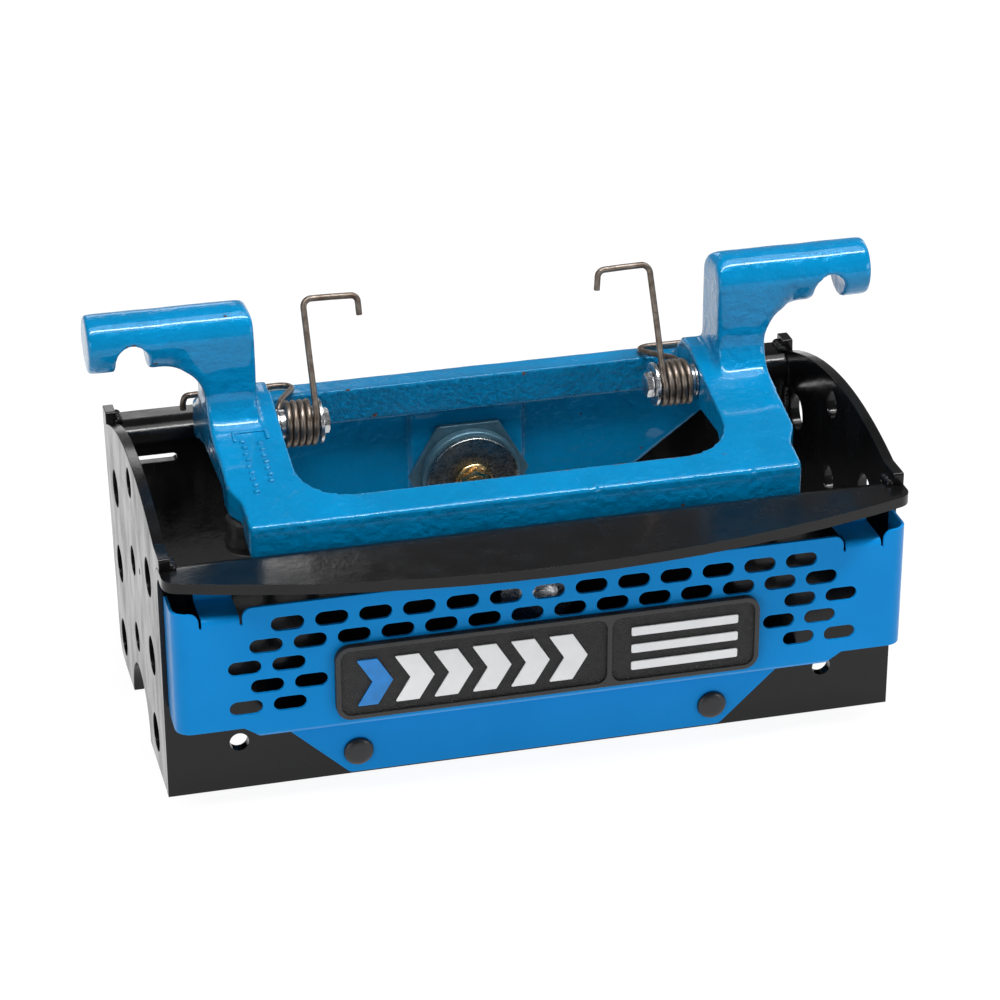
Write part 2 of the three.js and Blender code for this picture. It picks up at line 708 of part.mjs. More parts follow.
function springCoil(sign) {
  const points = [];
  const perTurn = 12;
  const count = Math.round(COIL_TURNS * perTurn);
  for (let i = 1; i <= count; i += 1) {
    const turn = i / perTurn;
    const angle = Math.PI - LEG_TILT + 2 * Math.PI * turn;
    points.push([
      sign * (COIL_INNER_X + WIRE_RADIUS + COIL_PITCH * turn),
      SPRING_Y + COIL_RADIUS * Math.cos(angle),
      SPRING_Z + COIL_RADIUS * Math.sin(angle),
    ]);
  }
  const barZ = REAR_BAR_Z + WIRE_RADIUS + GAP + 0.2;
  const legY = 167.5;
  points.push(
    [sign * 124.2, 124.4, 179],
    [sign * 122, 129.5, 181.2],
    [sign * 117, 142, 179],
    [sign * 111.5, 155, 176],
    [sign * 109.4, 161, barZ + 0.4],
    [sign * 110.6, 165.6, barZ],
    [sign * 115, legY, barZ],
    [sign * 124, legY, barZ],
    [sign * 150, legY, barZ],
    [sign * 168, legY, barZ],
    [sign * 172.5, legY, barZ - 0.6],
    [sign * 174.2, legY, barZ - 4],
    [sign * 174.4, legY, barZ - 9],
  );
  return wire(points, 84);
}

function springLeg(sign) {
  const x = sign * LEG_X;
  const reach = 71;
  const rise = (distance) => [
    x,
    LEG_START[0] + distance * Math.sin(LEG_TILT),
    LEG_START[1] + distance * Math.cos(LEG_TILT),
  ];
  const [, topY, topZ] = rise(reach);
  const inX = sign * 73.5;
  return wire([
    rise(GAP + 2.6),
    rise(reach * 0.4),
    rise(reach * 0.8),
    rise(reach - 4.5),
    [x - sign * 1.3, topY - 0.7, topZ - 1.3],
    [x - sign * 5, topY, topZ],
    [x - sign * 16, topY - 1, topZ + 0.3],
    [inX + sign * 4.5, topY - 2, topZ + 0.5],
    [inX + sign * 1, topY - 2.2, topZ - 1],
    [inX, topY - 2.4, topZ - 4.5],
    [inX - sign * 1, topY - 2.8, topZ - 12],
  ], 26);
}

function ringX(sign, outer, inner, near, far, segments = 20) {
  return cut(
    solid(cylinderX(outer, ...sideSpan(sign, near, far), SPRING_Y, SPRING_Z, segments)),
    cylinderX(inner, ...sideSpan(sign, near - 1, far + 1), SPRING_Y, SPRING_Z, 12),
  );
}

function springBolt(sign) {
  return join(
    hexX(13, ...sideSpan(sign, 97, 101.3), SPRING_Y, SPRING_Z),
    cylinderX(4, ...sideSpan(sign, 101, 150), SPRING_Y, SPRING_Z, 16),
  );
}

// Rubber stop under a front corner of the yoke: a plug that widens towards its free end.
function bumpStop(sign) {
  const profile = [
    [0, 0], [11, 0], [13, 2], [12.6, 10], [14, 16], [13, 20.5], [10, 22], [0, 22],
  ].map(([r, h]) => new THREE.Vector2(r, h));
  return new THREE.LatheGeometry(profile, 16).rotateX(-Math.PI / 2).translate(sign * 158, 47, 152 - GAP);
}

// ---------------------------------------------------------------- assembly
for (const [name, sign] of sides) {
  add(`side_plate_${name}`, sidePlate(sign), finishes.frame);
}
add('front_channel', frontChannel(), finishes.frame);
add('rear_channel', rearChannel(), finishes.frame);
add('grille_cover', grilleCover(), finishes.cover);
add('nameplate', nameplate(), finishes.plate);
for (const [name, sign] of sides) {
  add(`push_plug_${name}`, pushPlug(sign), finishes.plug);
}
frontPivot();
rearPivot();
add('head_support', headSupport(), finishes.casting);
for (const [name, sign] of sides) {
  add(`spring_bolt_${name}`, springBolt(sign), finishes.zinc);
  add(`spring_washer_${name}`, ringX(sign, 13.2, 4.3, 101.6, LEG_X - WIRE_RADIUS - GAP), finishes.zinc);
  add(`spring_spacer_${name}`, ringX(sign, 9, 4.3, COIL_INNER_X, 126.7), finishes.zinc);
  add(`spring_seat_washer_${name}`, ringX(sign, 9.6, 4.3, 127, OPENING_HALF - GAP), finishes.zinc);
  add(`torsion_spring_${name}`, springCoil(sign), finishes.spring);
  add(`spring_leg_${name}`, springLeg(sign), finishes.spring);
  add(`bump_stop_${name}`, bumpStop(sign), finishes.rubber);
}

// Origin under the middle of the bounding box, on the ground.
assembly.position.y = -(FRONT_LIP_Y + REAR_EDGE_Y) / 2;

export default assembly;
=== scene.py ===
# Centre section of a fifth wheel hitch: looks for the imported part.
# Lengths inside the builders are millimetres in the part's own frame; meshes are made in metres.
import json
import math

import bmesh
import bpy
import numpy as np
from mathutils import Matrix, Vector, noise


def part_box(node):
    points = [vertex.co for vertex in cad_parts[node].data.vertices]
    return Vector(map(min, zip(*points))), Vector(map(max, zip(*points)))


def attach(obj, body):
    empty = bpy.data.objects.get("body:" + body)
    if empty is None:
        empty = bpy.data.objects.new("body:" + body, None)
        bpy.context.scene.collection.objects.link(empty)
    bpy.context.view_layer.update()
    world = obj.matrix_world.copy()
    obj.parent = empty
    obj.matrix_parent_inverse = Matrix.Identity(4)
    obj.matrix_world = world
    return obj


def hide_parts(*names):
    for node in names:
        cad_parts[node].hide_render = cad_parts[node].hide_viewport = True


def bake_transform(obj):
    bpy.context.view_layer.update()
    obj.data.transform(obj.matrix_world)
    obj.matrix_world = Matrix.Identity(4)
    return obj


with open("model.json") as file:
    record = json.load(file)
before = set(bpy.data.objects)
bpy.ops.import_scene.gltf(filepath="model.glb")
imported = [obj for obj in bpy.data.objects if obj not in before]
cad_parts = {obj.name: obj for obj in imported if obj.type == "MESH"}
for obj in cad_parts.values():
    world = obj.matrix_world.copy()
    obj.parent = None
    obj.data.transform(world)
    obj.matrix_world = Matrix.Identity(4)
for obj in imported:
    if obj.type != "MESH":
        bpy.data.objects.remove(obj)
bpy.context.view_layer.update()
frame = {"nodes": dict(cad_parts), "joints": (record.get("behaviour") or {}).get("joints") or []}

nodes = frame["nodes"]
MM = 0.001
SIDES = (("left", -1), ("right", 1))


# -------- sizes from the frame
def box_mm(node):
    low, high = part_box(node)
    return np.array(low) / MM, np.array(high) / MM


COVER_LOW, COVER_HIGH = box_mm("grille_cover")
CHANNEL_LOW, CHANNEL_HIGH = box_mm("front_channel")
PLATE_LOW, PLATE_HIGH = box_mm("side_plate_right")
NAME_LOW, NAME_HIGH = box_mm("nameplate")
JOINTS = {joint["name"]: joint for joint in frame["joints"]}
PIVOT_Z = JOINTS["yoke_tilt"]["pos_m"][2] / MM
SPRING_Y = JOINTS["right_spring_wind"]["pos_m"][1] / MM
SPRING_Z = JOINTS["right_spring_wind"]["pos_m"][2] / MM
LEG_X = JOINTS["right_spring_wind"]["pos_m"][0] / MM

# Outlines are drawn from the front wall's outer face, which lies this far behind the curved lip.
LIP_REACH = 58.5
WALL_Y = round(CHANNEL_LOW[1] + LIP_REACH, 2)
GAP = 0.3  # air left between plates that touch


# -------- mesh helpers
def link(name, data):
    obj = bpy.data.objects.new(name, data)
    bpy.context.scene.collection.objects.link(obj)
    return obj


def mesh_object(name, points, faces):
    """A mesh object from points in millimetres."""
    mesh = bpy.data.meshes.new(name)
    mesh.from_pydata([tuple(p) for p in np.asarray(points) * MM], [], faces)
    mesh.validate()
    mesh.update()
    return link(name, mesh)


def vectors(collection, field):
    """A field of every item in a mesh collection, as rows of (x, y, z)."""
    flat = np.empty(len(collection) * 3)
    collection.foreach_get(field, flat)
    return flat.reshape(-1, 3)


def set_coordinates(obj, points):
    obj.data.vertices.foreach_set("co", np.ascontiguousarray(points).ravel())
    obj.data.update()


def settle(obj):
    """Applies the object's modifiers, or turns its curve into a mesh, and leaves a plain mesh."""
    graph = bpy.context.evaluated_depsgraph_get()
    graph.update()
    mesh = bpy.data.meshes.new_from_object(obj.evaluated_get(graph))
    if obj.type == "MESH":
        obj.modifiers.clear()
        obj.data = mesh
        return obj
    name = obj.name
    bpy.data.objects.remove(obj)
    return link(name, mesh)


def edit(obj, work):
    """Runs work(bm) on the object's mesh."""
    bm = bmesh.new()
    bm.from_mesh(obj.data)
    work(bm)
    bm.to_mesh(obj.data)
    bm.free()
    obj.data.update()
    return obj


def weld_points(obj, distance=1e-6):
    return edit(obj, lambda bm: bmesh.ops.remove_doubles(bm, verts=bm.verts[:], dist=distance))


def outward(obj):
    return edit(obj, lambda bm: bmesh.ops.recalc_face_normals(bm, faces=bm.faces[:]))


def smooth_shading(obj, angle=32):
    """Smooth faces, with a sharp edge wherever two faces meet at more than the angle."""
    limit = math.radians(angle)

    def work(bm):
        for face in bm.faces:
            face.smooth = True
        for edge in bm.edges:
            edge.smooth = len(edge.link_faces) == 2 and edge.calc_face_angle(0) < limit

    return edit(obj, work)


def joined(name, objects):
    """One object made of several, kept as separate shells of one mesh."""
    bm = bmesh.new()
    for obj in objects:
        bm.from_mesh(obj.data)
        bpy.data.objects.remove(obj)
    mesh = bpy.data.meshes.new(name)
    bm.to_mesh(mesh)
    bm.free()
    return link(name, mesh)


def transformed(obj, matrix):
    obj.data.transform(matrix)
    if matrix.determinant() < 0:
        edit(obj, lambda bm: bmesh.ops.reverse_faces(bm, faces=bm.faces[:]))
    return obj


def moved(obj, x, y, z):
    return transformed(obj, Matrix.Translation(Vector((x, y, z)) * MM))


def mirror_x(obj):
    return transformed(obj, Matrix.Scale(-1, 4, (1, 0, 0)))


def along(obj, direction, origin):
    """Turns a piece built along +Z so that it points in the direction, from the origin in mm."""
    turn = Vector((0, 0, 1)).rotation_difference(Vector(direction)).to_matrix().to_4x4()
    return transformed(obj, Matrix.Translation(Vector(origin) * MM) @ turn)


def softened(obj, width, angle=35, segments=3):
    """Rounds every edge that is sharper than the angle."""
    bevel = obj.modifiers.new("edges", "BEVEL")
    bevel.width = width * MM
    bevel.segments = segments
    bevel.limit_method = "ANGLE"
    bevel.angle_limit = math.radians(angle)
    bevel.harden_normals = False
    return settle(obj)


def cad_copy(name, node):
    """The CAD node's shape as a piece of its own, with its flat faces cleaned up."""
    obj = link(name, nodes[node].data.copy())
    obj.data.materials.clear()

    def work(bm):
        bmesh.ops.remove_doubles(bm, verts=bm.verts[:], dist=2e-6)
        bmesh.ops.dissolve_limit(bm, angle_limit=math.radians(0.4), verts=bm.verts[:], edges=bm.edges[:])

    return edit(obj, work)


# -------- outlines
def arc(x, y, radius, first, sweep, steps):
    """Points on part of a circle, both ends included."""
    angles = [first + sweep * k / steps for k in range(steps + 1)]
    return [(x + radius * math.cos(a), y + radius * math.sin(a)) for a in angles]


def circle(x, y, radius, count=40):
    return arc(x, y, radius, 0, 2 * math.pi, count)[:-1]


def stadium(x, y, length, width, steps=9):
    """A slot with round ends, lying along the first axis."""
    radius = width / 2
    reach = length / 2 - radius
    right = arc(x + reach, y, radius, -math.pi / 2, math.pi, steps)
    return right + arc(x - reach, y, radius, math.pi / 2, math.pi, steps)


def rounded(corners, steps=8):
    """A closed outline from (x, y, radius) corners, each rounded by its radius."""
    outline = []
    count = len(corners)
    for i, corner in enumerate(corners):
        x, y = corner[:2]
        radius = corner[2] if len(corner) > 2 else 0
        here = Vector((x, y))
        if radius == 0:
            outline.append((x, y))
            continue
        before = (Vector(corners[i - 1][:2]) - here).normalized()
        after = (Vector(corners[(i + 1) % count][:2]) - here).normalized()
        half = before.angle(after) / 2
        centre = here + (before + after).normalized() * (radius / math.sin(half))
        start = here + before * (radius / math.tan(half)) - centre
        end = here + after * (radius / math.tan(half)) - centre
        first = math.atan2(start.y, start.x)
        sweep = (math.atan2(end.y, end.x) - first + math.pi) % (2 * math.pi) - math.pi
        outline += arc(centre.x, centre.y, radius, first, sweep, steps)
    return outline


def rounded_box(x0, x1, y0, y1, radius, steps=8):
    return rounded([(x0, y0, radius), (x1, y0, radius), (x1, y1, radius), (x0, y1, radius)], steps)


def mirrored(corners):
    return [(-c[0], *c[1:]) for c in reversed(corners)]


def sheet(name, outlines, thickness, edge):
    """Flat plate in X and Y, centred on Z = 0, with rounded rims; inner outlines are holes."""
    curve = bpy.data.curves.new(name, "CURVE")
    curve.dimensions = "2D"
    curve.fill_mode = "BOTH"
    curve.extrude = (thickness / 2 - edge) * MM
    curve.bevel_depth = edge * MM
    curve.bevel_resolution = 1
    curve.offset = -edge * MM
    for outline in outlines:
        spline = curve.splines.new("POLY")
        spline.points.add(len(outline) - 1)
        for point, (x, y) in zip(spline.points, outline):
            point.co = (x * MM, y * MM, 0, 1)
        spline.use_cyclic_u = True
    return outward(weld_points(settle(link(name, curve))))


def split_at(obj, axis, positions):
    """Adds edge loops across a piece at these places along one axis, in mm."""
    normal = Vector((0, 0, 0))
    normal[axis] = 1

    def work(bm):
        for position in positions:
            everything = bm.verts[:] + bm.edges[:] + bm.faces[:]
            place = normal * position * MM
            bmesh.ops.bisect_plane(bm, geom=everything, plane_co=place, plane_no=normal, dist=1e-7)

    return edit(obj, work)


# -------- round and hexagonal pieces
def skinned(name, points, count, closed=False):
    """Skins rings of count points each; the first and last ring are joined, or each gets a cap."""
    rings = len(points) // count
    faces = []
    for i in range(rings if closed else rings - 1):
        following = (i + 1) % rings
        for k in range(count):
            n = (k + 1) % count
            faces.append((i * count + k, i * count + n, following * count + n, following * count + k))
    if not closed:
        faces.append(tuple(range(count))[::-1])
        faces.append(tuple(range((rings - 1) * count, rings * count)))
    return outward(mesh_object(name, points, faces))


def revolved(name, profile, segments=64):
    """A closed profile of (radius, height) pairs turned round Z; points on the axis close it."""
    points, rings = [], []
    for radius, height in profile:
        if radius < 1e-6:
            rings.append([len(points)])
            points.append((0, 0, height))
            continue
        rings.append(list(range(len(points), len(points) + segments)))
        for k in range(segments):
            a = 2 * math.pi * k / segments
            points.append((radius * math.cos(a), radius * math.sin(a), height))
    faces = []
    for i, ring in enumerate(rings):
        following = rings[(i + 1) % len(rings)]
        if len(ring) == 1 and len(following) == 1:
            continue
        for k in range(segments):
            n = (k + 1) % segments
            if len(ring) == 1:
                faces.append((ring[0], following[k], following[n]))
            elif len(following) == 1:
                faces.append((ring[k], following[0], ring[n]))
            else:
                faces.append((ring[k], following[k], following[n], ring[n]))
    return outward(mesh_object(name, points, faces))


def washer(name, outer, inner, thickness, edge=0.35):
    return revolved(name, rounded_box(inner, outer, 0, thickness, edge, 3))


def hex_prism(name, flats, height, bore=0.0, both_ends=False):
    """Hexagon whose corners are turned away by a chamfer, as on a bolt head or nut."""
    count = 96
    inner = flats / 2
    turned = inner * 0.96
    chamfer = math.tan(math.radians(30))
    sector = math.pi / 3
    angles = [2 * math.pi * k / count for k in range(count)]
    reach = [inner / math.cos((a + sector / 2) % sector - sector / 2) for a in angles]
    drop = [(r - turned) * chamfer for r in reach]
    low = drop if both_ends else [0.0] * count
    rings = [
        [(turned, 0)] * count,
        list(zip(reach, low)),
        [(r, height - d) for r, d in zip(reach, drop)],
        [(turned, height)] * count,
    ]
    if bore > 0:
        lip = 0.6
        inside = ((bore + lip, height), (bore, height - lip), (bore, lip), (bore + lip, 0))
        rings += [[corner] * count for corner in inside]
    points = []
    for ring in rings:
        points += [(r * math.cos(a), r * math.sin(a), z) for a, (r, z) in zip(angles, ring)]
    return skinned(name, points, count, closed=bore > 0)


# -------- wires and welds
def smooth_path(controls, per_span=10):
    """Centripetal curve through every control point."""
    pts = [Vector(p) for p in controls]
    pts = [pts[0] * 2 - pts[1]] + pts + [pts[-1] * 2 - pts[-2]]
    out = []
    for i in range(1, len(pts) - 2):
        p0, p1, p2, p3 = pts[i - 1 : i + 3]
        t1 = (p1 - p0).length ** 0.5
        t2 = t1 + (p2 - p1).length ** 0.5
        t3 = t2 + (p3 - p2).length ** 0.5
        for k in range(per_span):
            t = t1 + (t2 - t1) * k / per_span
            a1 = p0.lerp(p1, t / t1)
            a2 = p1.lerp(p2, (t - t1) / (t2 - t1))
            a3 = p2.lerp(p3, (t - t2) / (t3 - t2))
            b1 = a1.lerp(a2, t / t2)
            b2 = a2.lerp(a3, (t - t1) / (t3 - t1))
            out.append(b1.lerp(b2, (t - t1) / (t2 - t1)))
    out.append(pts[-2])
    return out


def cornered_path(corners, steps=8):
    """Straight runs joined by arcs, from (x, y, z, bend radius) corners."""
    out = [Vector(corners[0][:3])]
    for before, corner, after in zip(corners, corners[1:], corners[2:]):
        here = Vector(corner[:3])
        a = (Vector(before[:3]) - here).normalized()
        b = (Vector(after[:3]) - here).normalized()
        half = a.angle(b) / 2
        centre = here + (a + b).normalized() * (corner[3] / math.sin(half))
        start = here + a * (corner[3] / math.tan(half)) - centre
        end = here + b * (corner[3] / math.tan(half)) - centre
        first, last = start.normalized(), end.normalized()
        out += [centre + first.slerp(last, k / steps) * corner[3] for k in range(steps + 1)]
    out.append(Vector(corners[-1][:3]))
    return out


def tube(name, path, radius, sides=16, swell=None):
    """A closed round bar along a path; swell(i) scales its radius at point i."""
    points = []
    normal = (path[1] - path[0]).orthogonal().normalized()
    for i, point in enumerate(path):
        tangent = (path[min(i + 1, len(path) - 1)] - path[max(i - 1, 0)]).normalized()
        normal = (normal - tangent * normal.dot(tangent)).normalized()
        side = tangent.cross(normal)
        here = radius * (swell(i) if swell else 1)
        for k in range(sides):
            a = 2 * math.pi * k / sides
            points.append(point + (normal * math.cos(a) + side * math.sin(a)) * here)
    return skinned(name, points, sides)


# -------- materials
RAMP_SOCKETS = ("From Min", "From Max", "To Min", "To Max")


class Finish:
    """One material: a Principled shader and short calls that add the nodes feeding it."""

    def __init__(self, name, color, roughness, metallic=0.0):
        self.material = bpy.data.materials.new(name)
        self.material.use_nodes = True
        self.tree = self.material.node_tree
        self.shader = self.tree.nodes["Principled BSDF"]
        self.set("Base Color", (*color, 1))
        self.set("Roughness", roughness)
        self.set("Metallic", metallic)
        self.place = self.tree.nodes.new("ShaderNodeTexCoord").outputs["Object"]
        self.bump = None

    def set(self, socket, value):
        self.shader.inputs[socket].default_value = value

    def wire(self, source, socket):
        self.tree.links.new(source, self.shader.inputs[socket])

    def feed(self, value, socket):
        """Links another node's output to a socket, or gives the socket a constant."""
        if isinstance(value, bpy.types.NodeSocket):
            self.tree.links.new(value, socket)
        else:
            socket.default_value = value

    def texture(self, kind, size, stretch=(1, 1, 1), offset=(0, 0, 0)):
        """A texture node whose features are about this many millimetres across."""
        mapping = self.tree.nodes.new("ShaderNodeMapping")
        mapping.inputs["Scale"].default_value = [s / (size * MM) for s in stretch]
        mapping.inputs["Location"].default_value = offset
        self.feed(self.place, mapping.inputs["Vector"])
        node = self.tree.nodes.new(kind)
        node.inputs["Scale"].default_value = 1.0
        self.feed(mapping.outputs["Vector"], node.inputs["Vector"])
        return node

    def noise(self, size, detail=3.0, stretch=(1, 1, 1), roughness=0.55, offset=(0, 0, 0)):
        node = self.texture("ShaderNodeTexNoise", size, stretch, offset)
        node.inputs["Detail"].default_value = detail
        node.inputs["Roughness"].default_value = roughness
        return node.outputs["Fac"]

    def pebbles(self, size):
        """Distance from the joints between irregular cells."""
        node = self.texture("ShaderNodeTexVoronoi", size)
        node.feature = "DISTANCE_TO_EDGE"
        return node.outputs["Distance"]

    def ramp(self, source, low, high, first=0.0, last=1.0):
        """Maps low..high on the source to first..last, with the ends held."""
        node = self.tree.nodes.new("ShaderNodeMapRange")
        for socket, value in zip(RAMP_SOCKETS, (low, high, first, last)):
            node.inputs[socket].default_value = value
        self.feed(source, node.inputs["Value"])
        return node.outputs["Result"]

    def math(self, operation, a, b):
        node = self.tree.nodes.new("ShaderNodeMath")
        node.operation = operation
        self.feed(a, node.inputs[0])
        self.feed(b, node.inputs[1])
        return node.outputs["Value"]

    def mix(self, amount, a, b):
        """Colour a where the amount is 0 and b where it is 1."""
        node = self.tree.nodes.new("ShaderNodeMix")
        node.data_type = "RGBA"
        self.feed(amount, node.inputs["Factor"])
        inputs, result = node.inputs[6:8], node.outputs[2]  # the colour sockets of a Mix node
        for socket, value in zip(inputs, (a, b)):
            self.feed((*value, 1) if isinstance(value, tuple) else value, socket)
        return result

    def attribute(self, name):
        node = self.tree.nodes.new("ShaderNodeAttribute")
        node.attribute_name = name
        return node.outputs["Fac"]

    def raise_by(self, height, depth):
        """Adds a bump layer: the height pattern times a depth in millimetres."""
        node = self.tree.nodes.new("ShaderNodeBump")
        node.inputs["Strength"].default_value = 1.0
        node.inputs["Distance"].default_value = depth * MM
        self.feed(height, node.inputs["Height"])
        if self.bump is not None:
            self.feed(self.bump, node.inputs["Normal"])
        self.bump = node.outputs["Normal"]
        self.wire(self.bump, "Normal")

    def clear_coat(self, weight, roughness):
        self.set("Coat Weight", weight)
        self.set("Coat Roughness", roughness)


def casting_paint():
    """Thick gloss paint over a sand-cast surface, chipped to rusty iron on its sharp corners, with painted
    shade in the pits of the sand texture.
    """
    paint = Finish("casting_blue", (0.0, 0.19, 0.44), 0.2)
    paint.set("Specular IOR Level", 0.35)
    paint.set("Specular Tint", (0.05, 0.45, 0.8, 1))
    paint.clear_coat(0.55, 0.03)
    cloud = paint.noise(38, 4)
    grain = paint.noise(1.6, 2)
    coat = paint.mix(paint.ramp(cloud, 0.35, 0.7), (0.0, 0.165, 0.36), (0.0, 0.2, 0.44))
    sand = paint.noise(3.0, 4, roughness=0.65)
    sandy = paint.attribute("rough")
    # Painted shade: the low points of the sand texture are darkened in the base colour, most on the inside of
    # the rear bar.
    pit_shade = paint.math("MULTIPLY", paint.ramp(sand, 0.35, 0.65, 1, 0), sandy)
    tone = paint.mix(paint.math("MULTIPLY", pit_shade, 0.55), coat, (0.0, 0.07, 0.17))
    wear = paint.ramp(paint.noise(7, 5), 0.3, 0.75, -0.5, 0.32)
    corner = paint.ramp(paint.math("ADD", paint.attribute("edge"), wear), 0.86, 0.9)
    pit = paint.ramp(paint.noise(9, 5, offset=(3.1, 0.4, 7.7)), 0.71, 0.725)
    chip = paint.math("MAXIMUM", corner, pit)
    rust = paint.mix(paint.ramp(grain, 0.4, 0.6), (0.035, 0.02, 0.014), (0.12, 0.06, 0.035))
    paint.wire(paint.mix(chip, tone, rust), "Base Color")
    gloss = paint.ramp(paint.noise(9, 3), 0.3, 0.7, 0.13, 0.28)
    paint.wire(paint.math("MAXIMUM", gloss, paint.ramp(chip, 0, 1, 0, 0.75)), "Roughness")
    paint.wire(paint.ramp(chip, 0, 1, 0.55, 0), "Coat Weight")
    patches = paint.ramp(paint.noise(24, 2, offset=(1.7, 5.2, 0.6)), 0.35, 0.65, 0.45, 1.0)
    paint.raise_by(paint.math("MULTIPLY", paint.noise(6.0, 3), patches), 1.5)
    paint.raise_by(paint.math("MULTIPLY", sand, paint.ramp(sandy, 0, 1, 0.0, 1.0)), 1.9)
    paint.raise_by(paint.math("MULTIPLY", chip, -1.0), 0.2)
    return paint.material


def cover_paint():
    """Powder coat on sheet steel: even blue with fine orange peel and faint handling marks."""
    paint = Finish("cover_blue", (0.002, 0.225, 0.63), 0.33)
    paint.set("Specular Tint", (0.1, 0.5, 0.9, 1))
    paint.set("Specular IOR Level", 0.3)
    paint.clear_coat(0.08, 0.12)
    cloud = paint.noise(60, 3)
    paint.wire(paint.mix(paint.ramp(cloud, 0.3, 0.7), (0.002, 0.2, 0.54), (0.003, 0.225, 0.6)), "Base Color")
    streak = paint.noise(14, 5, stretch=(0.25, 1, 1))
    paint.wire(paint.ramp(streak, 0.35, 0.75, 0.28, 0.42), "Roughness")
    paint.raise_by(paint.noise(1.3, 2), 0.05)
    paint.raise_by(paint.noise(30, 2), 0.25)
    return paint.material


def frame_paint():
    """Gloss black powder coat on hot-rolled plate, with dust and rubbed patches."""
    paint = Finish("frame_black", (0.004, 0.004, 0.0045), 0.2)
    paint.set("Specular IOR Level", 0.27)
    paint.clear_coat(0.1, 0.08)
    dust = paint.ramp(paint.noise(2.1, 3, offset=(5, 2, 1)), 0.7, 0.78)
    cloud = paint.ramp(paint.noise(45, 5), 0.35, 0.75)
    tone = paint.mix(cloud, (0.0028, 0.0028, 0.003), (0.005, 0.005, 0.0055))
    paint.wire(paint.mix(paint.math("MULTIPLY", dust, 0.35), tone, (0.035, 0.035, 0.035)), "Base Color")
    rubbed = paint.ramp(paint.noise(18, 6, stretch=(1, 1, 0.4)), 0.4, 0.75, 0.15, 0.34)
    paint.wire(rubbed, "Roughness")
    paint.raise_by(paint.noise(1.5, 2), 0.045)
    paint.raise_by(paint.noise(24, 3), 0.3)
    return paint.material


def plate_grain():
    """Moulded plastic with a leather-like grain."""
    grain = Finish("nameplate_black", (0.012, 0.012, 0.013), 0.55)
    pebble = grain.pebbles(1.15)
    tone = grain.mix(grain.ramp(pebble, 0.0, 0.3), (0.006, 0.006, 0.006), (0.022, 0.022, 0.023))
    grain.wire(tone, "Base Color")
    grain.wire(grain.ramp(grain.noise(5, 3), 0.3, 0.7, 0.45, 0.65), "Roughness")
    grain.raise_by(grain.ramp(pebble, 0.0, 0.25), 0.35)
    grain.raise_by(grain.noise(0.7, 2), 0.12)
    return grain.material


def satin_plastic(name, color, roughness, fleck=0.15):
    plastic = Finish(name, color, roughness)
    plastic.wire(plastic.ramp(plastic.noise(4, 4), 0.3, 0.7, roughness - 0.07, roughness + 0.09), "Roughness")
    darker = tuple(c * (1 - fleck) for c in color)
    lighter = tuple(min(1.0, c * (1 + fleck)) for c in color)
    plastic.wire(plastic.mix(plastic.ramp(plastic.noise(9, 3), 0.3, 0.7), darker, lighter), "Base Color")
    plastic.raise_by(plastic.noise(0.8, 2), 0.04)
    return plastic.material


def plated(name, color, tint, roughness, metallic=1.0):
    """Plated steel: soft clouds of slightly different brightness, turning marks and fine scratches."""
    metal = Finish(name, color, roughness, metallic)
    metal.wire(metal.mix(metal.ramp(metal.noise(7, 5), 0.35, 0.7), color, tint), "Base Color")
    scratches = metal.noise(2.5, 6, stretch=(1, 1, 3))
    metal.wire(metal.ramp(scratches, 0.3, 0.75, roughness - 0.08, roughness + 0.14), "Roughness")
    metal.raise_by(metal.noise(1.2, 3), 0.04)
    return metal.material


def spring_steel():
    """Oil-tempered wire: brown-grey with long drawing marks and dull spots."""
    wire = Finish("spring_wire", (0.19, 0.155, 0.13), 0.38, 0.9)
    stain = wire.ramp(wire.noise(5, 5), 0.35, 0.7)
    wire.wire(wire.mix(stain, (0.25, 0.215, 0.185), (0.1, 0.07, 0.052)), "Base Color")
    wire.wire(wire.ramp(wire.noise(2, 5), 0.3, 0.7, 0.27, 0.52), "Roughness")
    wire.raise_by(wire.noise(0.6, 3), 0.05)
    return wire.material


def moulded_rubber():
    rubber = Finish("rubber", (0.012, 0.012, 0.012), 0.5)
    rubber.wire(rubber.ramp(rubber.noise(6, 4), 0.3, 0.7, 0.38, 0.62), "Roughness")
    bloom = rubber.ramp(rubber.noise(10, 3), 0.4, 0.7)
    rubber.wire(rubber.mix(bloom, (0.009, 0.009, 0.009), (0.02, 0.02, 0.02)), "Base Color")
    rubber.raise_by(rubber.noise(1.0, 3), 0.08)
    return rubber.material


CASTING = casting_paint()
COVER = cover_paint()
BLACK = frame_paint()
GRAIN = plate_grain()
RIM = satin_plastic("nameplate_rim", (0.014, 0.014, 0.015), 0.3)
WHITE = satin_plastic("marking_white", (0.78, 0.79, 0.8), 0.35, 0.03)
MARK_BLUE = satin_plastic("marking_blue", (0.004, 0.2, 0.58), 0.35)
PLUG = satin_plastic("plug_black", (0.01, 0.01, 0.011), 0.36)
ZINC = plated("zinc", (0.5, 0.51, 0.52), (0.72, 0.73, 0.75), 0.26)
WASHER = plated("pivot_washer_zinc", (0.26, 0.27, 0.26), (0.4, 0.41, 0.4), 0.24)
YELLOW = plated("yellow_zinc", (0.74, 0.47, 0.2), (0.86, 0.7, 0.4), 0.22)
PIVOT = plated("pivot_paint", (0.06, 0.14, 0.19), (0.09, 0.18, 0.24), 0.34, 0.5)
SPRING = spring_steel()
RUBBER = moulded_rubber()


def fit(obj, body, slot, material, *replaced, angle=32, flat=False):
    """Finishes a piece: shading, material, the body it rides on and the CAD nodes it stands for.

    With flat set, large faces keep their own direction and only the narrow rims round off.
    """
    smooth_shading(obj, angle)
    if flat:
        obj.modifiers.new("flat", "WEIGHTED_NORMAL").keep_sharp = True
        settle(obj)
    obj.data.materials.clear()
    obj.data.materials.append(material)
    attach(obj, body)
    if replaced:
        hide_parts(*replaced)
    return obj


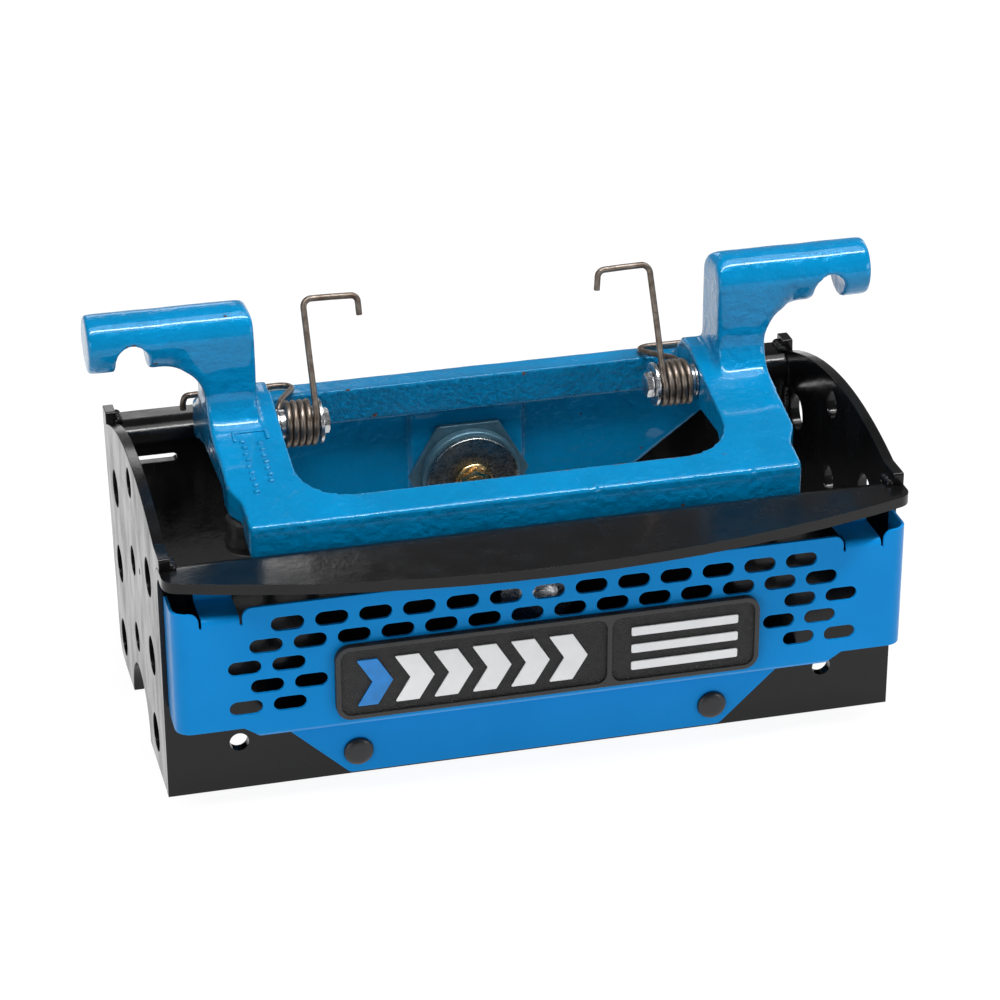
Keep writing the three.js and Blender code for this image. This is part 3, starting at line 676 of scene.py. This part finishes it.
# -------- side plates
PLATE_THICK = PLATE_HIGH[0] - PLATE_LOW[0]
HOLE_PITCH = 50.8
ARCH_Y, ARCH_RADIUS = 97.0, 32.0
BEND_RADIUS = 14.0
FRONT_FLANGE_Z = CHANNEL_HIGH[2]
NOSE_Y = -9.6  # tip of the plate, over the curved lip
SHOULDER_Z = 158.0
CROWN = ((8.1, 158), (102, 189), (190, 151))
# Distance behind the front wall, height and radius of the top hole of each column.
HOLE_COLUMNS = ((161.6, 121.1, 11.5), (99.4, 154.3, 8.9), (37.7, 123.7, 11.5))


def side_plate_outlines():
    """The plate's rim and holes, as (distance behind the front wall, height)."""
    front = PLATE_THICK + GAP
    corner = (PLATE_THICK - BEND_RADIUS, FRONT_FLANGE_Z - BEND_RADIUS)
    bend = arc(*corner, BEND_RADIUS + GAP, 0, math.pi / 2, 7)
    p0, p1, p2 = (Vector(p) for p in CROWN)
    crown = [tuple(p0.lerp(p1, t).lerp(p1.lerp(p2, t), t)) for t in np.linspace(0, 1, 40)]
    rear = PLATE_HIGH[1] - WALL_Y
    arch = arc(ARCH_Y, 0, ARCH_RADIUS, 0, math.pi, 39)
    rim = rounded(
        [
            (front, 0, 3), *bend, (NOSE_Y, FRONT_FLANGE_Z + GAP), (NOSE_Y, SHOULDER_Z, 1.5), *crown,
            (190.5, SHOULDER_Z, 1.5), (rear, SHOULDER_Z, 1.5), (rear, 152), (181, 0, 14),
        ],
        6,
    )
    holes = [circle(72, 110, 1.8, 16)]
    for row in range(3):
        holes += [circle(y, top - row * HOLE_PITCH, radius) for y, top, radius in HOLE_COLUMNS]
    return [rim + arch, *holes]


# Turns a sheet drawn in (Y, Z) so that its thickness lies along X.
DRAWN_YZ = Matrix(((0, 0, 1, 0), (1, 0, 0, 0), (0, 1, 0, 0), (0, 0, 0, 1)))
# Turns a sheet drawn in (X, Z) so that its thickness lies along Y.
DRAWN_XZ = Matrix(((1, 0, 0, 0), (0, 0, -1, 0), (0, 1, 0, 0), (0, 0, 0, 1)))


def side_plates():
    middle = (PLATE_LOW[0] + PLATE_HIGH[0]) / 2
    for side, sign in SIDES:
        plate = sheet(f"side_plate_{side}_shell", side_plate_outlines(), PLATE_THICK, 0.5)
        transformed(plate, DRAWN_YZ)
        moved(plate, sign * middle, WALL_Y, 0)
        fit(plate, "frame", "frame_black", BLACK, f"side_plate_{side}", flat=True)


# -------- channels and welds
def channels():
    for node in ("front_channel", "rear_channel"):
        channel = softened(cad_copy(f"{node}_shell", node), 0.9)
        fit(channel, "frame", "frame_black", BLACK, node, angle=40, flat=True)


def ripple(i):
    """How much fatter or thinner than its mean a weld bead is at point i: pool after pool."""
    return 0.86 + 0.2 * abs(math.sin(i * 0.9)) + 0.07 * math.sin(i * 2.3 + 1)


def straight(start, end, step=0.7):
    a, b = Vector(start), Vector(end)
    count = max(2, round((b - a).length / step))
    return [a.lerp(b, i / count) for i in range(count + 1)]


def welds():
    """Beads up both inner corners of each side plate and along its two upper ends."""
    sunk = 1.2
    rear_wall = 178 + WALL_Y - sunk
    front_wall = CHANNEL_HIGH[1] - 25 + sunk
    seams = (
        ((rear_wall, 30), (rear_wall, 132), 2.3),
        ((front_wall, 30), (front_wall, 118), 2.3),
        ((187 + WALL_Y, 152.4), (201 + WALL_Y, 152.4), 2.6),
        ((WALL_Y - 9, 151.2), (WALL_Y + 3, 150.2), 2.8),
    )
    for side, sign in SIDES:
        x = sign * (PLATE_LOW[0] - sunk)
        beads = [tube("bead", straight((x, *a), (x, *b)), radius, 10, ripple) for a, b, radius in seams]
        fit(joined(f"weld_beads_{side}", beads), "frame", "frame_black", BLACK, angle=80)


# -------- grille cover
COVER_FACE = COVER_LOW[1] - WALL_Y
COVER_HALF = COVER_HIGH[0]
COVER_TOP = 131.7
COVER_END_LOW = 55.5
SHEET = 2.0
CORNER_MID = 8.0  # corner bend, at the middle of the sheet
FOLD_MID = 3.0  # ledge, flap and tab bends
LEDGE_Z = 49.0
LEDGE_HALF = 172.0
TAB_LEDGE_Z = 126.0
WALL_MID = -GAP - SHEET / 2  # the sheet where it lies against the front wall
LEDGE_LENGTH = WALL_MID - FOLD_MID - (COVER_FACE + SHEET / 2 + FOLD_MID)
CORNER_START = COVER_HALF - CORNER_MID - SHEET / 2
CORNER_LENGTH = CORNER_MID * math.pi / 2
FOLD_LENGTH = FOLD_MID * math.pi / 2
END_LENGTH = -GAP - (COVER_FACE + SHEET / 2 + CORNER_MID)
PATTERN_HALF = CORNER_START + CORNER_LENGTH + END_LENGTH
TAB_IN, TAB_OUT = 176.0, 200.4
RELIEF = 1.5  # cut beside each tab
CUT_EDGE = 0.3  # rounding of that cut's corners
RELIEF_Z = TAB_LEDGE_Z - 4.4
SLOT_PITCH, SLOT_ROW, SLOT_TOP = 25.1, 12.7, 119.3
SLOT_LENGTH, SLOT_WIDTH = 19.0, 8.7
PLUG_RADIUS, PLUG_STEM = 8.8, 3.2


def two_folds(distance, offset):
    """Section of a ledge: (depth, drop) of a sheet that folds back, runs level and folds on.

    distance is measured along the sheet from where the first fold starts, and offset from its middle.
    """
    level = distance - FOLD_LENGTH
    second = level - LEDGE_LENGTH
    beyond = second - FOLD_LENGTH
    parts = [distance <= 0, level <= 0, second <= 0, beyond <= 0]
    a, b = (np.clip(start / FOLD_MID, 0, math.pi / 2) for start in (distance, second))
    outer, inner = FOLD_MID + offset, FOLD_MID - offset
    end = FOLD_MID + LEDGE_LENGTH
    depths = [-offset, FOLD_MID - outer * np.cos(a), FOLD_MID + level, end + inner * np.sin(b)]
    drops = [distance, outer * np.sin(a), outer, 2 * FOLD_MID - inner * np.cos(b)]
    depth = np.select(parts, depths, end + inner)
    drop = np.select(parts, drops, beyond + 2 * FOLD_MID)
    return depth, drop


def fold_cover(flat):
    """Bends the flat pattern (x, height, distance from the sheet's middle) into the cover."""
    s, t, offset = flat.T
    mid = COVER_FACE + SHEET / 2
    x, y, z = s.copy(), mid - offset, t.copy()
    side = np.sign(s)
    reach = np.abs(s)
    past = reach - CORNER_START
    a = np.clip(past / CORNER_MID, 0, math.pi / 2)
    corner = past > 0
    x = np.where(corner, side * (CORNER_START + (CORNER_MID + offset) * np.sin(a)), x)
    run = np.clip(past - CORNER_LENGTH, 0, None)
    y = np.where(corner, mid + CORNER_MID - (CORNER_MID + offset) * np.cos(a) + run, y)
    low = (LEDGE_Z + FOLD_MID) - t
    lower = (low > 0) & (reach < LEDGE_HALF)
    depth, drop = two_folds(low, offset)
    y = np.where(lower, mid + depth, y)
    z = np.where(lower, LEDGE_Z + FOLD_MID - drop, z)
    high = t - (TAB_LEDGE_Z - FOLD_MID)
    tab = (high > 0) & (reach > TAB_IN + CUT_EDGE) & (reach < TAB_OUT - CUT_EDGE)
    depth, drop = two_folds(high, offset)
    y = np.where(tab, mid + depth, y)
    z = np.where(tab, TAB_LEDGE_Z - FOLD_MID + drop, z)
    return np.stack([x, y, z], 1)


def cover_pattern():
    """Rim of the cover's flat pattern, and the height of its lowest edge."""
    flap_start = LEDGE_Z + FOLD_MID - 2 * FOLD_LENGTH - LEDGE_LENGTH
    flap_end = flap_start - (LEDGE_Z - FOLD_MID - COVER_LOW[2])
    tab_end = TAB_LEDGE_Z - FOLD_MID + 2 * FOLD_LENGTH + LEDGE_LENGTH + 5.4
    half = [
        (112, flap_end, 5),
        (158, flap_start - 1, 2),
        (160, flap_start + 2),
        (166, LEDGE_Z + FOLD_MID - FOLD_LENGTH),
        (170.5, 51, 2),
        (177.5, COVER_END_LOW, 3),
        (PATTERN_HALF, COVER_END_LOW, 9),
        (PATTERN_HALF, COVER_TOP, 3),
        (TAB_OUT, COVER_TOP, 6),
        (TAB_OUT, RELIEF_Z, CUT_EDGE),
        (TAB_OUT - RELIEF, RELIEF_Z, CUT_EDGE),
        (TAB_OUT - RELIEF, tab_end, 3),
        (TAB_IN + RELIEF, tab_end, 3),
        (TAB_IN + RELIEF, RELIEF_Z, CUT_EDGE),
        (TAB_IN, RELIEF_Z, CUT_EDGE),
        (TAB_IN, COVER_TOP, 6),
    ]
    return rounded(half + mirrored(half), 6), flap_end


def grille_slots():
    """Two long rows of slots and three short rows at each end, staggered by half a step."""
    places = [(i - 6, 0) for i in range(13)]
    places += [(i - 6.5, 1) for i in range(14)]
    for sign in (-1, 1):
        for row, steps in ((2, (7, 6)), (3, (6.5, 5.5)), (4, (7, 6))):
            places += [(sign * step, row) for step in steps]
    return [
        stadium(SLOT_PITCH * step, SLOT_TOP - SLOT_ROW * row, SLOT_LENGTH, SLOT_WIDTH) for step, row in places
    ]


def grille_cover():
    rim, flap_end = cover_pattern()
    plug_x = box_mm("push_plug_right")[0][0] + PLUG_RADIUS
    plugs = [circle(sign * plug_x, flap_end + 14, PLUG_STEM + 0.4, 20) for sign in (-1, 1)]
    cover = sheet("grille_cover_shell", [rim, *grille_slots(), *plugs], SHEET, 0.35)
    corner = [CORNER_START + CORNER_LENGTH * k / 8 for k in range(9)]
    split_at(cover, 0, [-p for p in corner] + corner)
    fold = [FOLD_LENGTH * k / 5 for k in range(6)]
    second = [FOLD_LENGTH + LEDGE_LENGTH + p for p in fold]
    split_at(cover, 1, [LEDGE_Z + FOLD_MID - p for p in fold + second])
    split_at(cover, 1, [TAB_LEDGE_Z - FOLD_MID + p for p in fold + second])
    folded = fold_cover(vectors(cover.data.vertices, "co") / MM) + (0, WALL_Y, 0)
    set_coordinates(cover, folded * MM)
    outward(cover)
    fit(cover, "frame", "cover_blue", COVER, "grille_cover", flat=True)


# -------- nameplate
def nameplate():
    """Grained block with a smooth raised rim and plain generic bars in place of any lettering."""
    half, bottom, top = NAME_HIGH[0], NAME_LOW[2], NAME_HIGH[2]
    front, back = NAME_LOW[1], NAME_HIGH[1]
    split = 35.0  # where the rim's middle bar stands
    rim_width = 3.0
    sunk = 1.2  # the grained field lies this far behind the rim

    def panel(x0, x1):
        return rounded_box(x0, x1, bottom + rim_width, top - rim_width, 6)

    outside = rounded_box(-half, half, bottom, top, 9)
    depth = back - front - sunk
    base = sheet("nameplate_shell", [outside], depth, 0.2)
    moved(transformed(base, DRAWN_XZ), 0, back - depth / 2, 0)
    fit(base, "frame", "nameplate_black", GRAIN, "nameplate", flat=True)

    panels = [panel(-half + rim_width, split - rim_width / 2), panel(split + rim_width / 2, half - rim_width)]
    rim = sheet("nameplate_rim", [outside, *panels], sunk, 0.45)
    moved(transformed(rim, DRAWN_XZ), 0, front + sunk / 2, 0)
    fit(rim, "frame", "nameplate_black", RIM, flat=True)

    thick = 0.9
    face = front + sunk - thick / 2 + 0.02
    low, high, slant = 62.6, 92.0, 9.0

    def chevron(x, width):
        lower = [(x, low, 0.6), (x + width, low, 0.6), (x + width + slant, (low + high) / 2, 0.6)]
        upper = [(x + width, high, 0.6), (x, high, 0.6), (x + slant, (low + high) / 2, 0.6)]
        return rounded(lower + upper, 4)

    def raised(name, outlines, material):
        parts = [sheet("bar", [outline], thick, 0.25) for outline in outlines]
        marks = joined(name, parts)
        moved(transformed(marks, DRAWN_XZ), 0, face, 0)
        fit(marks, "frame", "nameplate_black", material, flat=True)

    raised("nameplate_mark_blue", [chevron(-113, 12)], MARK_BLUE)
    raised("nameplate_marks_white", [chevron(-91 + 22.5 * i, 14) for i in range(5)], WHITE)
    stripes = [rounded_box(48, 112, z, z + 5.6, 1, 4) for z in (63.4, 74.5, 85.6)]
    raised("nameplate_stripes_white", stripes, WHITE)


def push_plugs():
    for side, sign in SIDES:
        low, high = box_mm(f"push_plug_{side}")
        length = high[1] - low[1]
        centre = ((low[0] + high[0]) / 2, low[1], (low[2] + high[2]) / 2)
        dome = [(0, 0.0), (3, 0.08), (6, 0.45), (8.0, 1.2), (8.7, 2.2), (PLUG_RADIUS, 2.9), (8.6, 3.15)]
        stem = [(PLUG_STEM, 3.2), (PLUG_STEM, length - 3.4), (2.9, length - 2)]
        stem += [(2.2, length - 0.4), (1.6, length), (0, length)]
        plug = revolved(f"push_plug_{side}_shell", dome + stem, 48)
        along(plug, (0, 1, 0), centre)
        fit(plug, "frame", "plug_black", PLUG, f"push_plug_{side}", angle=50)


# -------- tilt pivot
PIVOT_FLATS = 19.0
BOLT_BORE, SLEEVE_BORE = 6.7, 12.3


def pivot_washer(node, body, slot, material, inner, edge=0.4):
    low, high = box_mm(node)
    ring = washer(f"{node}_shell", (high[0] - low[0]) / 2, inner, high[1] - low[1], edge)
    along(ring, (0, 1, 0), (0, low[1], PIVOT_Z))
    return fit(ring, body, slot, material, node)


def pivot_bolt(node, slot, material):
    """Hexagon flange bolt with a dished head and a threaded end."""
    low, high = box_mm(node)
    head, shank = 8.0, 6.35
    length = high[1] - low[1]
    hexagon = hex_prism("head", PIVOT_FLATS, head - 1.5)
    along(hexagon, (0, -1, 0), (0, low[1] + head - 1.5, PIVOT_Z))
    rim = [(0, 0), (11.3, 0), (11.8, 0.4), (11.8, 1.0), (11.4, 1.5), (9.4, 2.6), (8.0, 3.0), (0, 3.0)]
    flange = revolved("flange", rim)
    along(flange, (0, -1, 0), (0, low[1] + head, PIVOT_Z))
    dish = revolved("dish", [(0, 0.0), (5.2, 0.0), (6.0, -0.35), (6.6, 0.25), (7.4, 0.0), (7.4, -1), (0, -1)])
    along(dish, (0, 1, 0), (0, low[1] + 0.05, PIVOT_Z))
    pitch = 2.0
    profile = [(0, head - 1), (shank, head - 1), (shank, head + 13)]
    start = head + 14
    while start < length - 2:
        profile += [(shank - 0.75, start), (shank, start + pitch * 0.45), (shank, start + pitch * 0.55)]
        start += pitch
    stem = revolved("shank", [*profile, (shank - 1.2, length), (0, length)], 40)
    along(stem, (0, 1, 0), (0, low[1], PIVOT_Z))
    bolt = joined(f"{node}_shell", [hexagon, flange, dish, stem])
    return fit(bolt, "frame", slot, material, node)


def pivot_nut(node, slot, material):
    low, high = box_mm(node)
    nut = hex_prism(f"{node}_shell", PIVOT_FLATS, high[1] - low[1], 6.5, both_ends=True)
    along(nut, (0, 1, 0), (0, low[1], PIVOT_Z))
    return fit(nut, "frame", slot, material, node)


def tilt_pivot():
    for part in ("front_pivot_washer", "front_pivot_sleeve", "front_pivot_inner_washer", "rear_pivot_sleeve"):
        pivot_washer(part, "frame", "zinc", ZINC, BOLT_BORE)
    pivot_washer("rear_pivot_washer", "frame", "zinc", WASHER, BOLT_BORE, 0.9)
    pivot_washer("rear_pivot_collar", "frame", "pivot_paint", PIVOT, BOLT_BORE, 1.4)
    for end in ("front", "rear"):
        pivot_washer(f"{end}_rubber_bushing", "yoke", "rubber", RUBBER, SLEEVE_BORE, 0.8)
    pivot_bolt("front_pivot_bolt", "zinc", ZINC)
    pivot_bolt("rear_pivot_bolt", "yellow_zinc", YELLOW)
    pivot_nut("front_pivot_nut", "zinc", ZINC)
    pivot_nut("rear_pivot_nut", "yellow_zinc", YELLOW)
    plate = softened(cad_copy("rear_pivot_hex_shell", "rear_pivot_hex"), 0.45)
    fit(plate, "frame", "pivot_paint", PIVOT, "rear_pivot_hex", angle=40, flat=True)


# -------- cast yoke
YOKE_LOW, YOKE_HIGH = box_mm("head_support")
VOXEL = 1.25
SEAMS = ((-130.4, 1.5, 1.1), (37.4, 1.6, 1.7), (131.4, 1.5, 1.1))  # x, half width and height


def neighbour_mean(values, edges):
    """The mean of each point's neighbours, for single values or for rows of (x, y, z)."""
    size = len(values)
    a, b = edges.T
    count = np.bincount(a, minlength=size) + np.bincount(b, minlength=size)
    columns = values.reshape(size, -1).T
    means = [(np.bincount(a, c[b], size) + np.bincount(b, c[a], size)) / count for c in columns]
    return np.stack(means, 1).reshape(values.shape)


def smoothed(points, edges, passes, strength):
    """Moves each point towards the middle of its neighbours; strength is per point, 0 to 1."""
    for _ in range(passes):
        points = points + (neighbour_mean(points, edges) - points) * (0.5 * strength)[:, None]
    return points


def blend_range(values, low, high):
    t = np.clip((values - low) / (high - low), 0, 1)
    return t * t * (3 - 2 * t)


def mould_seams(x):
    """Height of the ridges that the mould left across the front bar."""
    return sum(height * np.exp(-(((x - place) / width) ** 2)) for place, width, height in SEAMS)


def store(obj, name, values):
    attribute = obj.data.attributes.new(name, "FLOAT", "POINT")
    attribute.data.foreach_set("value", values.astype(np.float32))


def cast_yoke():
    yoke = cad_copy("head_support_casting", "head_support")
    remesh = yoke.modifiers.new("skin", "REMESH")
    remesh.mode = "VOXEL"
    remesh.voxel_size = VOXEL * MM
    remesh.use_smooth_shade = True
    settle(yoke)
    edges = np.empty(len(yoke.data.edges) * 2, int)
    yoke.data.edges.foreach_get("vertices", edges)
    edges = edges.reshape(-1, 2)
    points = vectors(yoke.data.vertices, "co") / MM
    x, y, z = np.abs(points[:, 0]), points[:, 1], points[:, 2]

    # Every edge is soft; the posts and the runout into the trunnions are softer still.
    points = smoothed(points, edges, 3, np.ones(len(points)))
    post = blend_range(z, 172, 186) * blend_range(x, 134, 140) * (1 - blend_range(x, 200, 204))
    points = smoothed(points, edges, 16, post)
    runout = blend_range(x, 172, 178) * (1 - blend_range(x, 192, 198)) * (1 - blend_range(z, 228, 236))
    points = smoothed(points, edges, 70, runout * blend_range(z, 196, 204))
    tip = blend_range(x, 229, 233)
    points = smoothed(points, edges, 10, tip)
    set_coordinates(yoke, points * MM)

    # Low swells and hollows of the mould, and its seams across the front bar.
    normal = vectors(yoke.data.vertex_normals, "vector")
    swell = np.array([noise.noise(Vector(p) / 20) for p in points])
    ridges = mould_seams(points[:, 0])
    nose = 1 - blend_range(y, 12 + WALL_Y, 17 + WALL_Y)
    forward = np.clip(-normal[:, 1], 0, 1)
    lift = nose * (forward * (ridges - 0.9) + (1 - forward) * 0.5 * ridges) - 0.16 * (swell + 1)
    lift = neighbour_mean(lift, edges)
    points = points + normal * lift[:, None]
    points = np.clip(points, YOKE_LOW, YOKE_HIGH)
    set_coordinates(yoke, points * MM)

    # Convex corners wear; the inside of the rear bar keeps its coarse sand texture, whose pits get painted
    # shade in the casting material.
    outwards = vectors(yoke.data.vertex_normals, "vector")
    bend = np.einsum("ij,ij->i", points - neighbour_mean(points, edges), outwards) / VOXEL
    for _ in range(3):
        bend = neighbour_mean(bend, edges)
    store(yoke, "edge", np.clip(bend / 0.09, 0, 1))
    inside_bar = (y > 70) & (y < 98) & (normal[:, 1] < -0.3) & (z > 146)
    cheek = (x < 132) & (np.abs(normal[:, 0]) > 0.5) & (z > 150)
    rough = np.where(inside_bar, 1.0, np.where(cheek, 0.3, 0.05))
    for _ in range(4):
        rough = neighbour_mean(rough, edges)
    store(yoke, "rough", rough)
    fit(yoke, "yoke", "casting_blue", CASTING, "head_support", angle=60)


def casting_marks():
    """Plain raised frame with two rows of pips on the left arm: a foundry mark with no lettering."""
    slope = math.radians(15)

    def bar(length, width):
        outline = rounded_box(-length / 2, length / 2, -width / 2, width / 2, 0.9, 4)
        return sheet("bar", [outline], 1.2, 0.5)

    quarter = Matrix.Rotation(math.pi / 2, 4, "Z")
    parts = [moved(bar(21, 2), 0, 32, 0)]
    parts += [moved(transformed(bar(9, 2), quarter), x, 28.5, 0) for x in (-9.6, 9.6)]
    for row, count, first in ((-5.5, 9, 24), (4.5, 7, 21)):
        for i in range(count):
            pip = revolved("pip", [(0, -0.5), (1.9, -0.5), (1.7, 0.2), (1.1, 0.7), (0, 0.9)], 20)
            parts.append(moved(pip, row + 0.5 * (i % 2), first - 5.6 * i, 0))
    marks = joined("casting_marks", parts)
    transformed(marks, Matrix.Rotation(slope, 4, "X"))
    middle_y = 60 + WALL_Y
    height = 160.5 + math.tan(slope) * (middle_y - WALL_Y - 9.8)
    moved(marks, -148, middle_y, height + 0.4)
    fit(marks, "yoke", "casting_blue", CASTING, angle=60)


# -------- torsion springs
WIRE = 1.9
COIL_RADIUS = 12.1
COIL_X = 106.3
COIL_PITCH = 3.95
COIL_TURNS = 4 + 7 / 12
LEG_TILT = math.atan2(35.9, 62.8)
COIL_STEPS = 44
BOLT_HEAD = 4.3


def coil_point(turn):
    angle = math.pi - LEG_TILT + 2 * math.pi * turn
    y = SPRING_Y + COIL_RADIUS * math.cos(angle)
    z = SPRING_Z + COIL_RADIUS * math.sin(angle)
    return Vector((COIL_X + COIL_PITCH * turn, y, z))


def long_leg():
    """From the hook's tip down to the coil, on the right-hand side."""
    rise = Vector((0, math.sin(LEG_TILT), math.cos(LEG_TILT)))
    root = coil_point(0)
    root.x = LEG_X
    top = root + rise * 71
    hook_x = 73.5
    corners = [
        (hook_x - 0.9, top.y - 2.8, top.z - 12, 0),
        (hook_x, top.y - 2.0, top.z + 0.1, 4.2),
        (LEG_X, top.y, top.z + 0.1, 5.0),
        (*(root + rise * 3), 0),
    ]
    return cornered_path(corners, 7)


def anchored_leg():
    """From the coil's outer end back and round onto the rear bar, then out past the yoke."""
    y = WALL_Y
    bar_z = 174.4
    leg_y = 167.5 + y
    return [
        (124.2, 124.4 + y, 179), (122, 129.5 + y, 181.2), (117, 142 + y, 179), (111.5, 155 + y, 176),
        (109.4, 161 + y, bar_z + 0.4), (110.6, 165.6 + y, bar_z), (115, leg_y, bar_z), (124, leg_y, bar_z),
        (150, leg_y, bar_z), (168, leg_y, bar_z), (172.5, leg_y, bar_z - 0.6), (174.2, leg_y, bar_z - 4),
        (174.4, leg_y, bar_z - 9),
    ]


def torsion_springs():
    turns = [i / COIL_STEPS for i in range(1, round(COIL_TURNS * COIL_STEPS) + 1)]
    coil = [coil_point(t) for t in turns]
    end = smooth_path([coil_point(COIL_TURNS - 1 / 12), coil_point(COIL_TURNS), *anchored_leg()], 10)[10:]
    for side, sign in SIDES:
        wound = tube(f"torsion_spring_{side}_coil", smooth_path(long_leg(), 2) + coil, WIRE)
        anchor = tube(f"torsion_spring_{side}_anchor", end, WIRE)
        if sign < 0:
            mirror_x(wound)
            mirror_x(anchor)
        fit(anchor, "yoke", "spring_wire", SPRING, f"torsion_spring_{side}", angle=50)
        smooth_shading(wound, 50)
        wound.data.materials.append(SPRING)
        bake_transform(wound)
        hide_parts(f"spring_leg_{side}")


def spring_fasteners():
    for side, sign in SIDES:
        low, high = box_mm("spring_bolt_right")
        axis = (sign, 0, 0)
        under = (sign * (low[0] + BOLT_HEAD), SPRING_Y, SPRING_Z)
        reach = high[0] - low[0] - BOLT_HEAD
        head = along(hex_prism("head", 13, BOLT_HEAD), (-sign, 0, 0), under)
        face = revolved("face", [(0, 0), (7.6, 0), (7.9, 0.3), (7.6, 0.9), (0, 0.9)])
        along(face, (-sign, 0, 0), under)
        shank = revolved("shank", rounded([(0, -0.1), (4, -0.1), (4, reach, 0.8), (0, reach)], 3), 32)
        along(shank, axis, under)
        bolt = joined(f"spring_bolt_{side}_shell", [head, face, shank])
        fit(bolt, "yoke", "zinc", ZINC, f"spring_bolt_{side}")
        for part in ("spring_washer", "spring_spacer", "spring_seat_washer"):
            low, high = box_mm(f"{part}_right")
            ring = washer(f"{part}_{side}_shell", (high[1] - low[1]) / 2, 4.3, high[0] - low[0], 0.3)
            along(ring, axis, (sign * low[0], SPRING_Y, SPRING_Z))
            fit(ring, "yoke", "zinc", ZINC, f"{part}_{side}")


def bump_stops():
    for side, sign in SIDES:
        low, high = box_mm(f"bump_stop_{side}")
        corners = [(0, 0), (11, 0), (13, 2, 1.5), (12.6, 10, 8), (14, 16, 4), (13, 20.5, 2)]
        profile = rounded([*corners, (10, 22, 2), (0, 22)], 5)
        stop = revolved(f"bump_stop_{side}_shell", profile)
        along(stop, (0, 0, -1), ((low[0] + high[0]) / 2, (low[1] + high[1]) / 2, high[2]))
        fit(stop, "yoke", "rubber", RUBBER, f"bump_stop_{side}", angle=50)


# -------- stage, lights and camera
def stage():
    """Pale paper that gives some light of its own, so that the part stands in hardly any shadow."""
    far, low = 9e3, -0.3
    corners = [(-far, -far, low), (far, -far, low), (far, far, low), (-far, far, low)]
    floor = mesh_object("floor", corners, [(0, 1, 2, 3)])
    paper = Finish("floor_paper", (0.14, 0.14, 0.14), 0.9)
    paper.set("Specular IOR Level", 0.0)
    paper.set("Emission Color", (1, 1, 1, 1))
    paper.set("Emission Strength", 0.92)
    floor.data.materials.append(paper.material)


def softbox(name, place, aim, size, power):
    light = bpy.data.lights.new(name, "AREA")
    light.shape = "RECTANGLE"
    light.size, light.size_y = size
    light.energy = power
    obj = link(name, light)
    direction = Vector(aim) - Vector(place)
    obj.matrix_world = Matrix.Translation(place) @ direction.to_track_quat("-Z", "Y").to_matrix().to_4x4()


def studio():
    """A dim even room with a strip that makes the long highlights, and soft boxes at its corners."""
    world = bpy.data.worlds.new("studio")
    bpy.context.scene.world = world
    world.use_nodes = True
    tree = world.node_tree
    back = tree.nodes["Background"]
    place = tree.nodes.new("ShaderNodeTexCoord")
    split = tree.nodes.new("ShaderNodeSeparateXYZ")
    ramp = tree.nodes.new("ShaderNodeMapRange")
    tree.links.new(place.outputs["Generated"], split.inputs[0])
    tree.links.new(split.outputs["Z"], ramp.inputs["Value"])
    for socket, value in zip(RAMP_SOCKETS, (0.0, 0.6, 0.2, 0.12)):
        ramp.inputs[socket].default_value = value
    tree.links.new(ramp.outputs["Result"], back.inputs["Strength"])
    back.inputs["Color"].default_value = (1, 1, 1, 1)
    softbox("overhead", (0.1, -0.2, 1.5), (0, 0, 0.15), (1.7, 0.7), 12)
    softbox("overhead_strip", (0.1, -0.36, 1.46), (0, 0, 0.15), (1.6, 0.12), 19)
    softbox("front_left", (-1.7, -1.3, 0.6), (0, 0, 0.12), (0.9, 0.6), 9)
    softbox("front_right", (1.5, -1.4, 0.6), (0, 0, 0.12), (0.9, 0.6), 8)
    softbox("back_left", (-0.05, 1.6, 0.85), (-0.15, 0, 0.15), (0.45, 0.35), 1.2)
    softbox("back_right", (1.5, 1.1, 1.0), (0, 0, 0.15), (1.0, 0.9), 6)
    bpy.context.scene.view_settings.view_transform = "Standard"


def camera():
    """The photograph's camera, solved from the straight edges of the frame."""
    place = (-0.4404, -1.72225, 1.0074)
    azimuth, elevation, roll = (math.radians(a) for a in (-14.252, 26.509, -0.199))
    level = math.cos(elevation)
    back = Vector((math.sin(azimuth) * level, -math.cos(azimuth) * level, math.sin(elevation)))
    right = (-back).cross(Vector((0, 0, 1))).normalized()
    up = back.cross(right)
    turned_right = right * math.cos(roll) + up * math.sin(roll)
    turned_up = up * math.cos(roll) - right * math.sin(roll)
    axes = Matrix((turned_right, turned_up, back)).transposed().to_4x4()
    data = bpy.data.cameras.new("camera")
    data.sensor_width = 36
    data.lens = 120.83
    data.shift_y = 0.012
    obj = link("camera", data)
    obj.matrix_world = Matrix.Translation(place) @ axes
    bpy.context.scene.camera = obj


camera()
stage()
studio()
side_plates()
channels()
welds()
grille_cover()
nameplate()
push_plugs()
tilt_pivot()
cast_yoke()
casting_marks()
torsion_springs()
spring_fasteners()
bump_stops()
